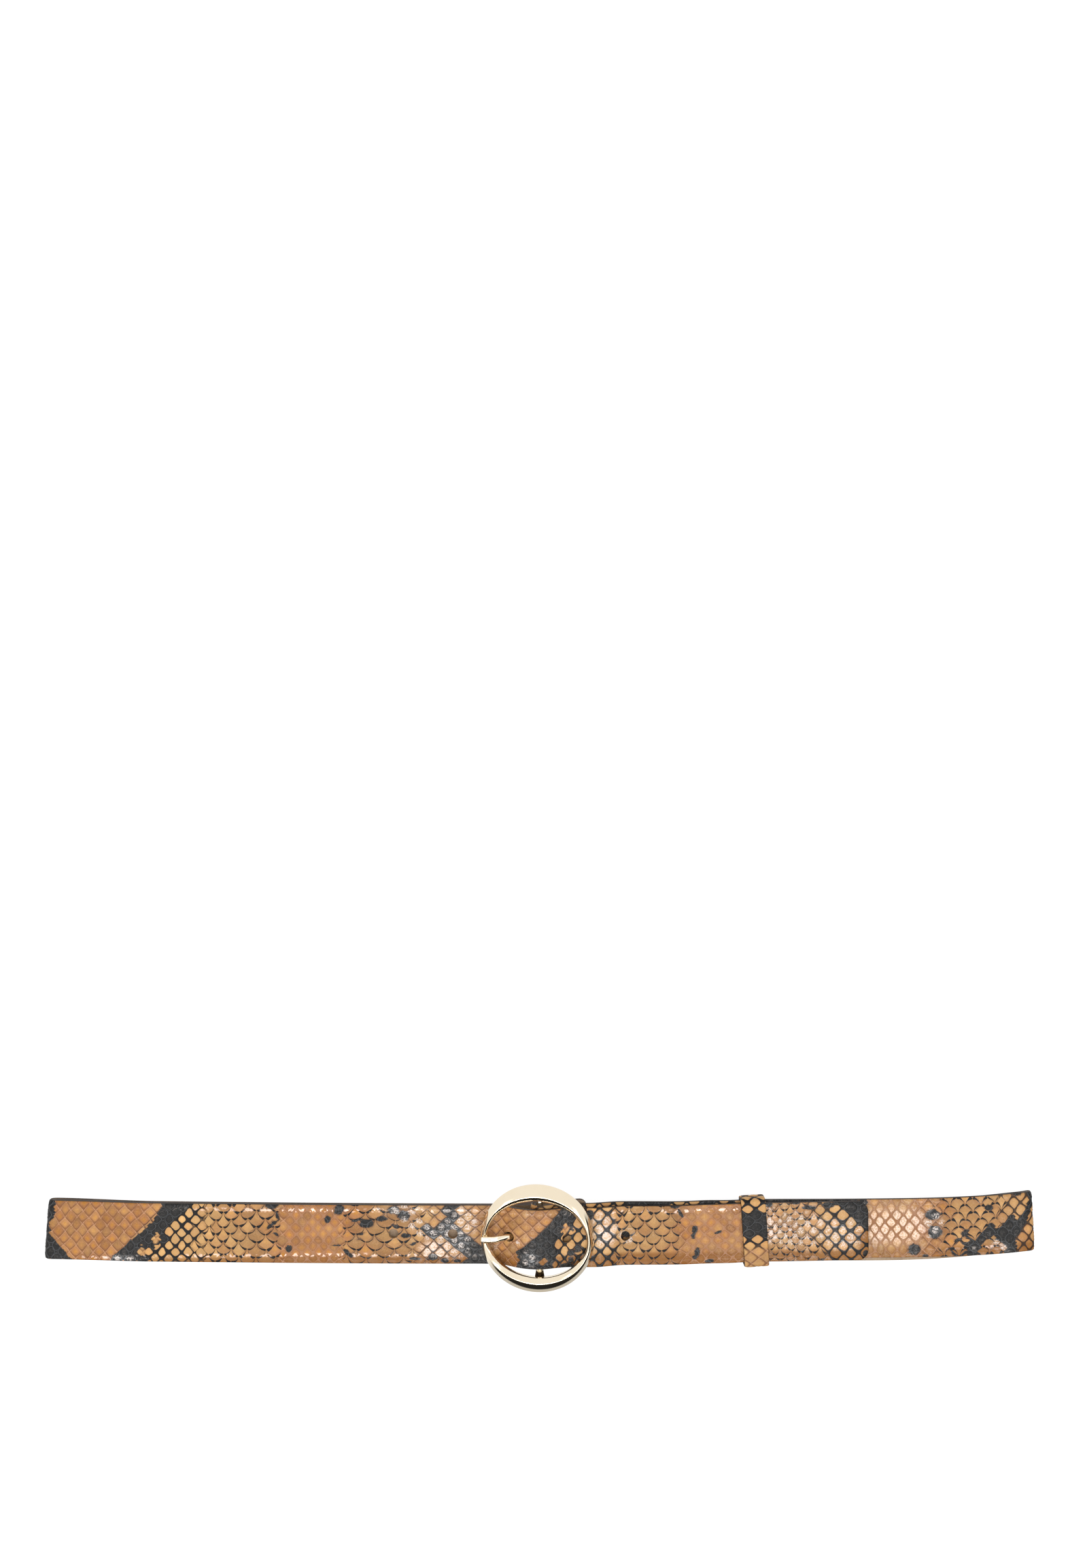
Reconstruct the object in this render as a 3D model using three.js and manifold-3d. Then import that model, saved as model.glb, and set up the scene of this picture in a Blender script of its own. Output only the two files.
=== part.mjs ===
// A snakeskin-embossed leather belt, buckled and laid flat with its front face up. Millimetres, +Z up.
// X runs along the belt and Y across the strap. The origin is on the surface that the belt lies on,
// under the middle of the buckle, which is also the middle of the belt.
import * as THREE from "three";
import { mergeVertices } from "three/addons/utils/BufferGeometryUtils.js";
import Module from "manifold-3d";

const wasm = await Module();
wasm.setup();

// The strap: an embossed outer leather and a plain lining, glued back to back
const STRAP_WIDTH = 25;
const OUTER_THICK = 1.2;
const LINING_THICK = 1.0;
const PLY_GAP = 0.3;
const STRAP_THICK = OUTER_THICK + PLY_GAP + LINING_THICK;
const HALF_THICK = STRAP_THICK / 2;
const LAY_GAP = 0.35; // between one turn of the strap and the next
const LAYER = STRAP_THICK + LAY_GAP;

// The belt as it lies
const HALF_LENGTH = 211.4;
const ARC_RISE = 1.6; // how far both ends lie towards +Y of the middle
const KEEPER_RISE = 1.5; // the sideways step that the belt makes up to the keeper
const KEEPER_RISE_FROM = 55;
const KEEPER_RISE_TO = 98;
const RIGHT_END_RISE = 3.3; // how much further the right-hand bend has crept
const RIGHT_END_START = 140;
const BEND_LEAN = 0.055; // how far the creases lean, per mm across the strap
const LEFT_BEND_RADIUS = 2.3; // to the middle of the strap's thickness
const RIGHT_BEND_RADIUS = 2.8;
const TIP_X = 140;
const UNDER_TIP_Z = 4.3;
const FLAP_END_X = 20;
const TIP_CORNER = 4.5;
const FLAP_CORNER = 3;

// The buckle's bar and the strap folded round it
const BAR_RADIUS = 1.35;
const FOLD_RADIUS = BAR_RADIUS + 0.3 + HALF_THICK;
const BACK_Z = HALF_THICK; // the run that lies on the surface
const FLAP_Z = BACK_Z + LAYER;
const BAR_Z = FLAP_Z + FOLD_RADIUS;
const FOLD_TOP_Z = BAR_Z + FOLD_RADIUS;

// The keeper, a loop of the same leather round both layers
const KEEPER_X = 91.3;
const KEEPER_THICK = 1.3;
const KEEPER_WIDTH = 10.4;
const KEEPER_CLEARANCE = 0.35;
const KEEPER_SLACK = 0.9; // at each edge of the strap
const KEEPER_ASIDE = 0.35;
const KEEPER_TURN = 3.4; // degrees
const KEEPER_BASE_Z = FLAP_Z + KEEPER_THICK + KEEPER_CLEARANCE;

// Punched holes, counted from the one that the prong is in
const HOLE_PITCH = 25.4; // along the leather
const HOLE_RADIUS = 2.1;
const PRONG_HOLE_X = -12.5;
const HOLE_STEPS = [-2, -1, 0, 1, 2];

// The buckle frame, an oval ring that is broad above and below, and stands in front of its bar. The sizes
// are half the ring's across X and Y: at its outer edge, at its opening and along its crest.
const RING_OUTER = { x: 24.1, y: 22.75 };
const RING_INNER = { x: 21.1, y: 16.2 };
const RING_CREST = { x: 22.3, y: 18.3 };
const RING_HEIGHT = 4.7;
const OUTER_WALL = 1.3;
const INNER_WALL = 3.4;
const RING_FOOT = 0.5; // how far the back face is taken in from both edges
const RING_TILT = 4.9; // degrees, the right side up, over the thicker pile of leather
const RING_TURN = -3; // degrees
const RING_X = -0.9;
const RING_BACK_Z = BAR_Z + 3;
const RING_SECTIONS = 56;
const LUG = { inner: 14.3, outer: 19.6, halfWidth: 1.5, flare: 0.7 };

// The prong
const PRONG_EYE = 2.95; // outer radius of the loop round the bar
const PRONG_EYE_WIDTH = 2.4;
const PRONG_SLOT_HALF = 2.9; // half the slot in the fold that the loop sits in
const NOTCH_HALF = 1.65;
const NOTCH_DEPTH = 0.9;

const degrees = THREE.MathUtils.degToRad;

// Curves

// The line along the middle of the strap's thickness, seen from -Y, from the turned-back flap under the
// buckle to the tip. The heading is in degrees from +X towards +Z. In and out are the reaches of the curve's
// handles before and after the station, and aside is how far the strap lies towards +Y there.
const ROUND = 0.5523; // handle length of a quarter circle, as a share of its radius
const BAR_REACH = ROUND * FOLD_RADIUS;
const LEFT_REACH = ROUND * LEFT_BEND_RADIUS;
const RIGHT_REACH = ROUND * RIGHT_BEND_RADIUS;
const LEFT_X = -(HALF_LENGTH - HALF_THICK);
const LEFT_CENTRE_X = LEFT_X + LEFT_BEND_RADIUS;
const RIGHT_X = HALF_LENGTH - HALF_THICK;
const RIGHT_CENTRE_X = RIGHT_X - RIGHT_BEND_RADIUS;
const SPREAD = 165; // the end bends spread the front and back runs this far out
const over = (z) => z + LAYER;
const LINE = [
  // at, x, z, heading, in, out, aside, steps to the next station
  ["flap end", FLAP_END_X, FLAP_Z, 180, 0, 5, 2.3, 3],
  ["under the bar", 0, FLAP_Z, 180, 5, BAR_REACH, 1.3, 6],
  ["round the bar", -FOLD_RADIUS, BAR_Z, 90, BAR_REACH, BAR_REACH, 1.1, 6],
  ["over the bar", 0, FOLD_TOP_Z, 0, BAR_REACH, 4, 1.1, 8],
  ["on the flap", 10, over(FLAP_Z), 0, 4, 3, 1.1, 1],
  ["past the flap", 20.6, over(FLAP_Z), 0, 3, 5, 1.1, 7],
  ["on the back run", 36, FLAP_Z, 0, 6, 10, 1, 4],
  ["by the keeper", KEEPER_X - 22, FLAP_Z, 0, 10, 6, 0.8, 5],
  ["in the keeper", KEEPER_X - 7, KEEPER_BASE_Z, 0, 6, 4, 0.7, 1],
  ["past the keeper", KEEPER_X + 7, KEEPER_BASE_Z, 0, 4, 8, 0.6, 6],
  ["under the tip", TIP_X, UNDER_TIP_Z, 0, 20, 22, 0, 9],
  ["right top", RIGHT_X - 5.5, BACK_Z + 2 * RIGHT_BEND_RADIUS, -2, 22, 3.2, -0.1, 7],
  ["right end", RIGHT_X, BACK_Z + RIGHT_BEND_RADIUS, -90, RIGHT_REACH, RIGHT_REACH, -0.6, 7],
  ["right foot", RIGHT_CENTRE_X, BACK_Z, 180, RIGHT_REACH, 12, -1.5, 6],
  ["back run, right", SPREAD, BACK_Z, 180, 12, 40, -2.2, 12],
  ["back run, middle", 0, BACK_Z, 180, 40, 40, -0.8, 10],
  ["back run, left", -SPREAD, BACK_Z, 180, 40, 12, -0.7, 5],
  ["left foot", LEFT_CENTRE_X, BACK_Z, 180, 12, LEFT_REACH, 0.2, 6],
  ["left end", LEFT_X, BACK_Z + LEFT_BEND_RADIUS, 90, LEFT_REACH, LEFT_REACH, 0.5, 6],
  ["left top", LEFT_CENTRE_X, BACK_Z + 2 * LEFT_BEND_RADIUS, 0, LEFT_REACH, 14, 0.6, 6],
  ["front run", -SPREAD, FLAP_Z, 0, 14, 40, -0.5, 9],
  ["before the buckle", -40, FLAP_Z, 0, 40, 9, -0.5, 6],
  ["under the ring", -18, FLAP_Z + 1.2, 6, 8, 5, -0.2, 9],
  ["over the fold", -0.5, over(FOLD_TOP_Z) + 0.05, 0, 9, 4, 0, 8],
  ["tail by the flap", 12.5, over(over(FLAP_Z)), 0, 4, 3, 0, 1],
  ["tail past the flap", 23, over(over(FLAP_Z)), 0, 3, 5, 0, 7],
  ["tail down", 38, over(FLAP_Z), 0, 6, 10, 0, 4],
  ["tail by the keeper", KEEPER_X - 24, over(FLAP_Z), 0, 10, 6, 0, 5],
  ["tail in the keeper", KEEPER_X - 8, over(KEEPER_BASE_Z), 0, 6, 4, 0.15, 1],
  ["tail past the keeper", KEEPER_X + 8, over(KEEPER_BASE_Z), 0, 4, 9, 0.15, 6],
  ["tip", TIP_X, over(UNDER_TIP_Z) + 0.15, 0, 20, 0, 0, 0],
].map(([at, x, z, heading, reachIn, reachOut, aside, steps]) => (
  { at, x, z, heading, reachIn, reachOut, aside, steps }
));

const headingVector = (heading) => new THREE.Vector2(Math.cos(degrees(heading)), Math.sin(degrees(heading)));

// Points along the line, each with its grain-side normal and its distance from the flap's end.
function strapStations() {
  const stations = [];
  for (let i = 0; i + 1 < LINE.length; i++) {
    const [a, b] = [LINE[i], LINE[i + 1]];
    const [start, end] = [new THREE.Vector2(a.x, a.z), new THREE.Vector2(b.x, b.z)];
    const leave = headingVector(a.heading).multiplyScalar(a.reachOut).add(start);
    const arrive = headingVector(b.heading).multiplyScalar(-b.reachIn).add(end);
    const piece = new THREE.CubicBezierCurve(start, leave, arrive, end);
    const last = i + 2 === LINE.length;
    for (let k = 0; k < a.steps + (last ? 1 : 0); k++) {
      const t = k / a.steps;
      const point = piece.getPoint(t);
      const ahead = piece.getTangent(t);
      const aside = THREE.MathUtils.lerp(a.aside, b.aside, THREE.MathUtils.smoothstep(t, 0, 1));
      stations.push({ x: point.x, z: point.y, nx: -ahead.y, nz: ahead.x, aside, part: i });
    }
  }
  let along = 0;
  stations.forEach((s, i) => {
    if (i) along += Math.hypot(s.x - stations[i - 1].x, s.z - stations[i - 1].z);
    s.along = along;
  });
  return stations;
}

// The belt isn't quite straight as it lies, so each section of the strap is set over by the belt's rise and
// turned by its slope. The creases at the ends lean back a little from that.
function rise(x) {
  const creep = Math.max(0, x - RIGHT_END_START) / (HALF_LENGTH - RIGHT_END_START);
  const step = THREE.MathUtils.smoothstep(x, KEEPER_RISE_FROM, KEEPER_RISE_TO);
  return ARC_RISE * (x / HALF_LENGTH) ** 2 + KEEPER_RISE * step + RIGHT_END_RISE * creep ** 2;
}

function asItLies(x, y) {
  const slope = rise(x + 0.5) - rise(x - 0.5);
  const lean = slope - BEND_LEAN * (x / HALF_LENGTH) ** 6;
  return { x: x - y * lean, y: y + rise(x) };
}

// Half the strap's width at a distance from one end, with round corners of a given radius.
function halfWidthNear(distance, corner) {
  const inside = Math.min(distance, corner);
  return STRAP_WIDTH / 2 - corner + Math.sqrt(corner * corner - (corner - inside) * (corner - inside));
}

// Solids

// A closed mesh from rings of points, each ring joined to the next. The two ends are capped, or the rings
// close on themselves.
function loft(rings, closed = false) {
  const count = rings[0].length;
  const positions = rings.flat().flatMap((p) => [p.x, p.y, p.z]);
  const index = [];
  const joins = closed ? rings.length : rings.length - 1;
  for (let r = 0; r < joins; r++) {
    const [here, next] = [r * count, ((r + 1) % rings.length) * count];
    for (let k = 0; k < count; k++) {
      const after = (k + 1) % count;
      index.push(here + k, next + k, next + after, here + k, next + after, here + after);
    }
  }
  if (!closed) {
    const end = (rings.length - 1) * count;
    for (let k = 1; k + 1 < count; k++) {
      index.push(0, k, k + 1);
      index.push(end, end + k + 1, end + k);
    }
  }
  const geometry = new THREE.BufferGeometry();
  geometry.setAttribute("position", new THREE.Float32BufferAttribute(positions, 3));
  geometry.setIndex(index);
  return geometry;
}

function toManifold(geometry) {
  const bare = new THREE.BufferGeometry();
  bare.setAttribute("position", geometry.getAttribute("position"));
  bare.setIndex(geometry.index);
  const merged = mergeVertices(bare, 1e-4);
  const mesh = new wasm.Mesh({
    numProp: 3,
    vertProperties: new Float32Array(merged.attributes.position.array),
    triVerts: new Uint32Array(merged.index.array),
  });
  const solid = new wasm.Manifold(mesh);
  if (solid.volume() > 0) return solid;
  for (let i = 0; i < mesh.triVerts.length; i += 3) {
    [mesh.triVerts[i + 1], mesh.triVerts[i + 2]] = [mesh.triVerts[i + 2], mesh.triVerts[i + 1]];
  }
  return new wasm.Manifold(mesh);
}

function toGeometry(solid) {
  const { numProp, numVert, vertProperties, triVerts } = solid.getMesh();
  const positions = new Float32Array(numVert * 3);
  for (let i = 0; i < numVert; i++) {
    positions.set(vertProperties.subarray(i * numProp, i * numProp + 3), i * 3);
  }
  const geometry = new THREE.BufferGeometry();
  geometry.setAttribute("position", new THREE.BufferAttribute(positions, 3));
  geometry.setIndex(new THREE.BufferAttribute(new Uint32Array(triVerts), 1));
  return geometry;
}

// Two sections of the strap, a ply each: rows of how far in from the edge, and how high on the grain side
const OUTER_LOW = -HALF_THICK + LINING_THICK + PLY_GAP;
const OUTER_SECTION = [
  { inset: 0.1, height: OUTER_LOW },
  { inset: 0, height: OUTER_LOW + 0.45 },
  { inset: 0.35, height: HALF_THICK - 0.4 },
  { inset: 2.3, height: HALF_THICK },
];
const LINING_SECTION = [
  { inset: 0.15, height: -HALF_THICK },
  { inset: 0.15, height: -HALF_THICK + LINING_THICK },
];
const WHOLE_SECTION = [
  { inset: -1, height: -HALF_THICK - 0.3 },
  { inset: -1, height: HALF_THICK + 0.3 },
];

// One ply of the strap, swept along a stretch of the line.
function sweepStrap(stations, section) {
  const total = stations[stations.length - 1].along;
  const rings = stations.map((s) => {
    const half = Math.min(
      halfWidthNear(s.along - stations[0].along, stations[0].part === 0 ? FLAP_CORNER : 0.01),
      halfWidthNear(total - s.along, TIP_CORNER),
    );
    const place = (side, row) => {
      const y = s.aside + side * (half - row.inset);
      const lies = asItLies(s.x + s.nx * row.height, y);
      return new THREE.Vector3(lies.x, lies.y, s.z + s.nz * row.height);
    };
    return [
      ...section.map((row) => place(-1, row)),
      ...section.toReversed().map((row) => place(1, row)),
    ];
  });
  return loft(rings);
}

// The station at a distance along the strap.
function stationAt(stations, along) {
  const next = stations.findIndex((s) => s.along > along);
  const [a, b] = [stations[next - 1], stations[next]];
  const t = (along - a.along) / (b.along - a.along);
  const mix = (key) => THREE.MathUtils.lerp(a[key], b[key], t);
  return { x: mix("x"), z: mix("z"), nx: mix("nx"), nz: mix("nz"), aside: mix("aside"), along, part: a.part };
}

// Extra stations close to the two cut ends, so that their corners come out round.
function roundedEnds(stations) {
  const total = stations[stations.length - 1].along;
  const marks = [];
  for (let k = 1; k <= 5; k++) {
    const bite = 1 - Math.cos(((k / 5) * Math.PI) / 2);
    marks.push(FLAP_CORNER * bite, total - TIP_CORNER * bite);
  }
  return [...stations, ...marks.map((along) => stationAt(stations, along))]
    .sort((a, b) => a.along - b.along)
    .filter((s, i, all) => i === 0 || s.along - all[i - 1].along > 0.02);
}

const STATIONS = roundedEnds(strapStations());

// The holes are punched square to the leather.
function punches() {
  const front = LINE.findIndex((row) => row.at === "front run");
  const prongHole = STATIONS.find((s) => s.part >= front && s.x >= PRONG_HOLE_X).along;
  return HOLE_STEPS.map((step) => {
    const at = stationAt(STATIONS, prongHole + step * HOLE_PITCH);
    const lies = asItLies(at.x, 0);
    const punch = new THREE.CylinderGeometry(HOLE_RADIUS, HOLE_RADIUS, STRAP_THICK + 0.5, 20);
    // The prong drags its own hole a little longer.
    if (step === 0) punch.scale(1.3, 1, 1);
    punch.rotateX(Math.PI / 2);
    punch.rotateY(Math.atan2(at.nx, at.nz));
    punch.translate(lies.x, lies.y, at.z);
    return toManifold(punch);
  });
}

// The slot that the prong's loop sits in. It's cut from the fold alone, not from the tail over it or the run
// under it.
function prongSlot() {
  const box = new THREE.BoxGeometry(10, 2 * PRONG_SLOT_HALF, 20).translate(-1.4, 0, BAR_Z);
  const lastOfFold = LINE.findIndex((row) => row.at === "over the bar");
  const fold = STATIONS.filter((s) => s.along > FLAP_END_X - 8 && s.part <= lastOfFold);
  return toManifold(box).intersect(toManifold(sweepStrap(fold, WHOLE_SECTION)));
}

const CUTTERS = [...punches(), prongSlot()];

function strapPly(section) {
  return CUTTERS.reduce((ply, cutter) => ply.subtract(cutter), toManifold(sweepStrap(STATIONS, section)));
}

// The keeper is an oblong loop, seen along the belt.
function oblong(halfY, halfZ, corner) {
  const shape = new THREE.Shape();
  shape.moveTo(-halfY + corner, -halfZ);
  shape.lineTo(halfY - corner, -halfZ);
  shape.absarc(halfY - corner, -halfZ + corner, corner, -Math.PI / 2, 0);
  shape.lineTo(halfY, halfZ - corner);
  shape.absarc(halfY - corner, halfZ - corner, corner, 0, Math.PI / 2);
  shape.lineTo(-halfY + corner, halfZ);
  shape.absarc(-halfY + corner, halfZ - corner, corner, Math.PI / 2, Math.PI);
  shape.lineTo(-halfY, -halfZ + corner);
  shape.absarc(-halfY + corner, -halfZ + corner, corner, Math.PI, 1.5 * Math.PI);
  return shape;
}

function keeper() {
  const halfY = STRAP_WIDTH / 2 + KEEPER_SLACK;
  const halfZ = (STRAP_THICK + LAYER) / 2 + KEEPER_CLEARANCE;
  const band = oblong(halfY + KEEPER_THICK, halfZ + KEEPER_THICK, 2.3);
  band.holes.push(oblong(halfY, halfZ, 1));
  const geometry = new THREE.ExtrudeGeometry(band, {
    depth: KEEPER_WIDTH,
    bevelEnabled: false,
    curveSegments: 5,
  });
  geometry.translate(0, 0, -KEEPER_WIDTH / 2);
  // Shape x becomes Y, shape y becomes Z and the extrusion becomes X.
  geometry.applyMatrix4(new THREE.Matrix4().makeBasis(
    new THREE.Vector3(0, 1, 0),
    new THREE.Vector3(0, 0, 1),
    new THREE.Vector3(1, 0, 0),
  ));
  return toManifold(geometry);
}

// The buckle frame. Each ring section runs from the back face, up the inner wall and a bevel to the crest,
// and down a full outer slope.
function ringSection(turn) {
  const [c, s] = [Math.cos(turn), Math.sin(turn)];
  const inner = new THREE.Vector2(RING_INNER.x * c, RING_INNER.y * s);
  const outer = new THREE.Vector2(RING_OUTER.x * c, RING_OUTER.y * s);
  const crest = new THREE.Vector2(RING_CREST.x * c, RING_CREST.y * s);
  const footShare = RING_FOOT / inner.distanceTo(outer);
  const slope = (from, wall, t, bulge) => {
    const p = from.clone().lerp(crest, t);
    return new THREE.Vector3(p.x, p.y, wall + (RING_HEIGHT - wall) * (t + bulge * Math.sin(Math.PI * t)));
  };
  const flat = (t) => {
    const p = inner.clone().lerp(outer, t);
    return new THREE.Vector3(p.x, p.y, 0);
  };
  return [
    flat(footShare),
    slope(inner, INNER_WALL, 0, 0),
    slope(inner, INNER_WALL, 0.85, 0.1),
    slope(outer, OUTER_WALL, 0.95, 0.14),
    slope(outer, OUTER_WALL, 0.7, 0.14),
    slope(outer, OUTER_WALL, 0.35, 0.14),
    slope(outer, OUTER_WALL, 0, 0),
    flat(1 - footShare),
  ];
}

function buckleFrame() {
  const rings = [];
  for (let k = 0; k < RING_SECTIONS; k++) rings.push(ringSection((k / RING_SECTIONS) * 2 * Math.PI));
  const ring = loft(rings, true);
  ring.rotateZ(degrees(RING_TURN));
  ring.rotateY(degrees(-RING_TILT));
  ring.translate(RING_X, 0, RING_BACK_Z);
  let frame = toManifold(ring);
  const bar = new THREE.CylinderGeometry(BAR_RADIUS, BAR_RADIUS, 2 * LUG.inner + 3, 16);
  frame = frame.add(toManifold(bar.translate(0, 0, BAR_Z)));
  for (const side of [-1, 1]) frame = frame.add(lug(side));
  return frame.subtract(prongNotch());
}

// A lug carries each end of the bar on the back of the ring. It widens towards the ring.
function lug(side) {
  const { inner, outer, halfWidth, flare } = LUG;
  const level = (y0, y1, half, z) => [
    new THREE.Vector3(-half, side * y0, z),
    new THREE.Vector3(half, side * y0, z),
    new THREE.Vector3(half, side * y1, z),
    new THREE.Vector3(-half, side * y1, z),
  ];
  return toManifold(loft([
    level(inner, outer - 2.2, halfWidth, BAR_Z - BAR_RADIUS),
    level(inner, outer - 0.6, halfWidth, BAR_Z),
    level(inner + 0.6, outer, halfWidth + 0.3 * flare, RING_BACK_Z),
    level(inner + 2.5, outer, halfWidth + flare, RING_BACK_Z + 1.2),
  ]));
}

// The prong lies in a flat notch across the left side of the ring.
const NOTCH_Z = RING_BACK_Z + (RING_X - 22.7) * Math.sin(degrees(RING_TILT)) + RING_HEIGHT - NOTCH_DEPTH;
function prongNotch() {
  return toManifold(new THREE.BoxGeometry(8, 2 * NOTCH_HALF, 4).translate(-24, 0, NOTCH_Z + 2));
}

// The prong is a loop on the bar with a shank that rises through the hole and ends on the ring. The shank
// is given from the side: the middle of its thickness, its thickness and its width.
const SHANK = [
  { x: -2.3, z: BAR_Z, thick: 1.3, width: 2.4 },
  { x: -5.5, z: BAR_Z, thick: 1.6, width: 2.6 },
  { x: -9, z: BAR_Z + 0.25, thick: 1.8, width: 2.7 },
  { x: -12.5, z: BAR_Z + 1.3, thick: 1.8, width: 2.7 },
  { x: -16, z: BAR_Z + 3.8, thick: 1.75, width: 2.7 },
  { x: -19, z: NOTCH_Z + 0.9, thick: 1.7, width: 2.6 },
  { x: -22, z: NOTCH_Z + 1.2, thick: 1.65, width: 2.6 },
  { x: -24.2, z: NOTCH_Z + 1.1, thick: 1.5, width: 2.5 },
  { x: -24.9, z: NOTCH_Z + 1.05, thick: 0.9, width: 1.9 },
];
const SHANK_BEVEL = 0.28; // as a share of the thickness

function prong() {
  const line = new THREE.CatmullRomCurve3(SHANK.map((s) => new THREE.Vector3(s.x, 0, s.z)));
  const rings = [];
  const count = 3 * (SHANK.length - 1);
  for (let k = 0; k <= count; k++) {
    const u = k / 3;
    const [a, b] = [SHANK[Math.floor(u)], SHANK[Math.ceil(u)]];
    const mix = (key) => THREE.MathUtils.lerp(a[key], b[key], u % 1);
    const at = line.getPoint(k / count);
    const ahead = line.getTangent(k / count);
    const up = new THREE.Vector3(ahead.z, 0, -ahead.x);
    const [h, w, e] = [mix("thick") / 2, mix("width") / 2, mix("thick") * SHANK_BEVEL];
    const outline = [
      [-w + e, -h], [w - e, -h], [w, -h + e], [w, h - e], [w - e, h], [-w + e, h], [-w, h - e], [-w, -h + e],
    ];
    rings.push(outline.map(([y, z]) => new THREE.Vector3(at.x + up.x * z, y, at.z + up.z * z)));
  }
  const loop = new THREE.Shape();
  loop.absarc(0, 0, PRONG_EYE, 0, 2 * Math.PI);
  const bore = new THREE.Path();
  bore.absarc(0, 0, BAR_RADIUS + 0.3, 0, 2 * Math.PI);
  loop.holes.push(bore);
  const eye = new THREE.ExtrudeGeometry(loop, {
    depth: PRONG_EYE_WIDTH,
    bevelEnabled: false,
    curveSegments: 12,
  });
  eye.translate(0, 0, -PRONG_EYE_WIDTH / 2);
  eye.rotateX(Math.PI / 2);
  eye.translate(0, 0, BAR_Z);
  return toManifold(eye).add(toManifold(loft(rings)));
}

// Materials
const embossedLeather = new THREE.MeshStandardMaterial({ color: 0xb9803f, roughness: 0.38, metalness: 0 });
const plainLining = new THREE.MeshStandardMaterial({ color: 0x8c7a64, roughness: 0.7, metalness: 0 });
const paleGold = new THREE.MeshStandardMaterial({ color: 0xe8cfa0, roughness: 0.12, metalness: 1 });

function piece(name, solid, material) {
  const mesh = new THREE.Mesh(toGeometry(solid), material);
  mesh.name = name;
  return mesh;
}

const belt = new THREE.Group();
belt.name = "belt";
belt.add(piece("strap_outer", strapPly(OUTER_SECTION), embossedLeather));
belt.add(piece("strap_lining", strapPly(LINING_SECTION), plainLining));

const keeperLoop = piece("keeper", keeper(), embossedLeather);
keeperLoop.position.set(KEEPER_X, rise(KEEPER_X) + KEEPER_ASIDE, KEEPER_BASE_Z + LAYER / 2);
keeperLoop.rotation.z = degrees(KEEPER_TURN);
belt.add(keeperLoop);

belt.add(piece("buckle_frame", buckleFrame(), paleGold));
belt.add(piece("prong", prong(), paleGold));

export default belt;
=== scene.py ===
# %% [markdown]
# # A snakeskin-embossed leather belt
# The belt is fastened and lies pressed flat, with its front face up. Two plies of leather run once round
# the loop, an oval gold ring with a tongue closes it, and a leather keeper holds its tail. The measured
# model comes in first as a fixed frame, and every piece made here takes its place on it.

import math
from functools import partialmethod

import bmesh
import bpy
import numpy as np
from mathutils import Matrix, Vector


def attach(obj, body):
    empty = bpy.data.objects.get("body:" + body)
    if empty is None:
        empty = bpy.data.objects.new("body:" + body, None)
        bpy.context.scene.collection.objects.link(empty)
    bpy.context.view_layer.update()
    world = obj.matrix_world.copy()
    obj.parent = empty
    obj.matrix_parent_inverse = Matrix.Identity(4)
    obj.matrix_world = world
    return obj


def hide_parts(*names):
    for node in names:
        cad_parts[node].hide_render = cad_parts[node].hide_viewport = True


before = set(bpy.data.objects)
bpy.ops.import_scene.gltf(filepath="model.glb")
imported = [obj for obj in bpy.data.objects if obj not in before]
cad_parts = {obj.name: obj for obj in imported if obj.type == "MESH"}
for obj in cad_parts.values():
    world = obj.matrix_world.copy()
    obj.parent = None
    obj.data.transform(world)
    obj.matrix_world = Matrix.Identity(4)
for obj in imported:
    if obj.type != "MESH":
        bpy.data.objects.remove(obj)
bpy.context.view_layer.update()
MM = 0.001  # the lesson works in millimetres, and Blender in metres
print("nodes:", sorted(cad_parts))

# %% [markdown]
# ## Camera
# The camera looks straight down, and the belt lies well below the middle of its picture, so the strap is
# seen about 17 degrees from its upper edge. The lens is a normal one on a camera 62 cm up.


# %% Camera
def add_object(name, data):
    made = bpy.data.objects.new(name, data)
    bpy.context.scene.collection.objects.link(made)
    return made


camera_data = bpy.data.cameras.new("camera")
camera_data.sensor_fit = "VERTICAL"
camera_data.sensor_height = 36
camera_data.lens = 33.17
camera = add_object("camera", camera_data)
camera.location = (0.0012, 0.1924, 0.623)
bpy.context.scene.camera = camera

# %% [markdown]
# ## Shader maths
# A finish is a network of nodes. These two small classes let it be written as arithmetic: a Value stands
# for one number in the network, and a Finish adds any other node.


# %% A value and a finish
class Value:
    """One socket of a finish. An expression on values adds Math nodes."""

    def __init__(self, finish, socket):
        self.finish = finish
        self.socket = socket

    def maths(self, operation, *others):
        return self.finish.node("ShaderNodeMath", {"operation": operation}, [self, *others])

    __add__ = __radd__ = partialmethod(maths, "ADD")
    __sub__ = partialmethod(maths, "SUBTRACT")
    __mul__ = __rmul__ = partialmethod(maths, "MULTIPLY")
    __truediv__ = partialmethod(maths, "DIVIDE")
    __pow__ = partialmethod(maths, "POWER")
    size = partialmethod(maths, "ABSOLUTE")
    fraction = partialmethod(maths, "FRACT")
    at_least = partialmethod(maths, "MAXIMUM")
    at_most = partialmethod(maths, "MINIMUM")

    def __rsub__(self, other):
        return self.maths("MULTIPLY", -1) + other

    def step(self, low, high):
        """0 below low, 1 above high, and smooth between."""
        settings = {"interpolation_type": "SMOOTHSTEP"}
        return self.finish.node("ShaderNodeMapRange", settings, [self, low, high, 0, 1])


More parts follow.
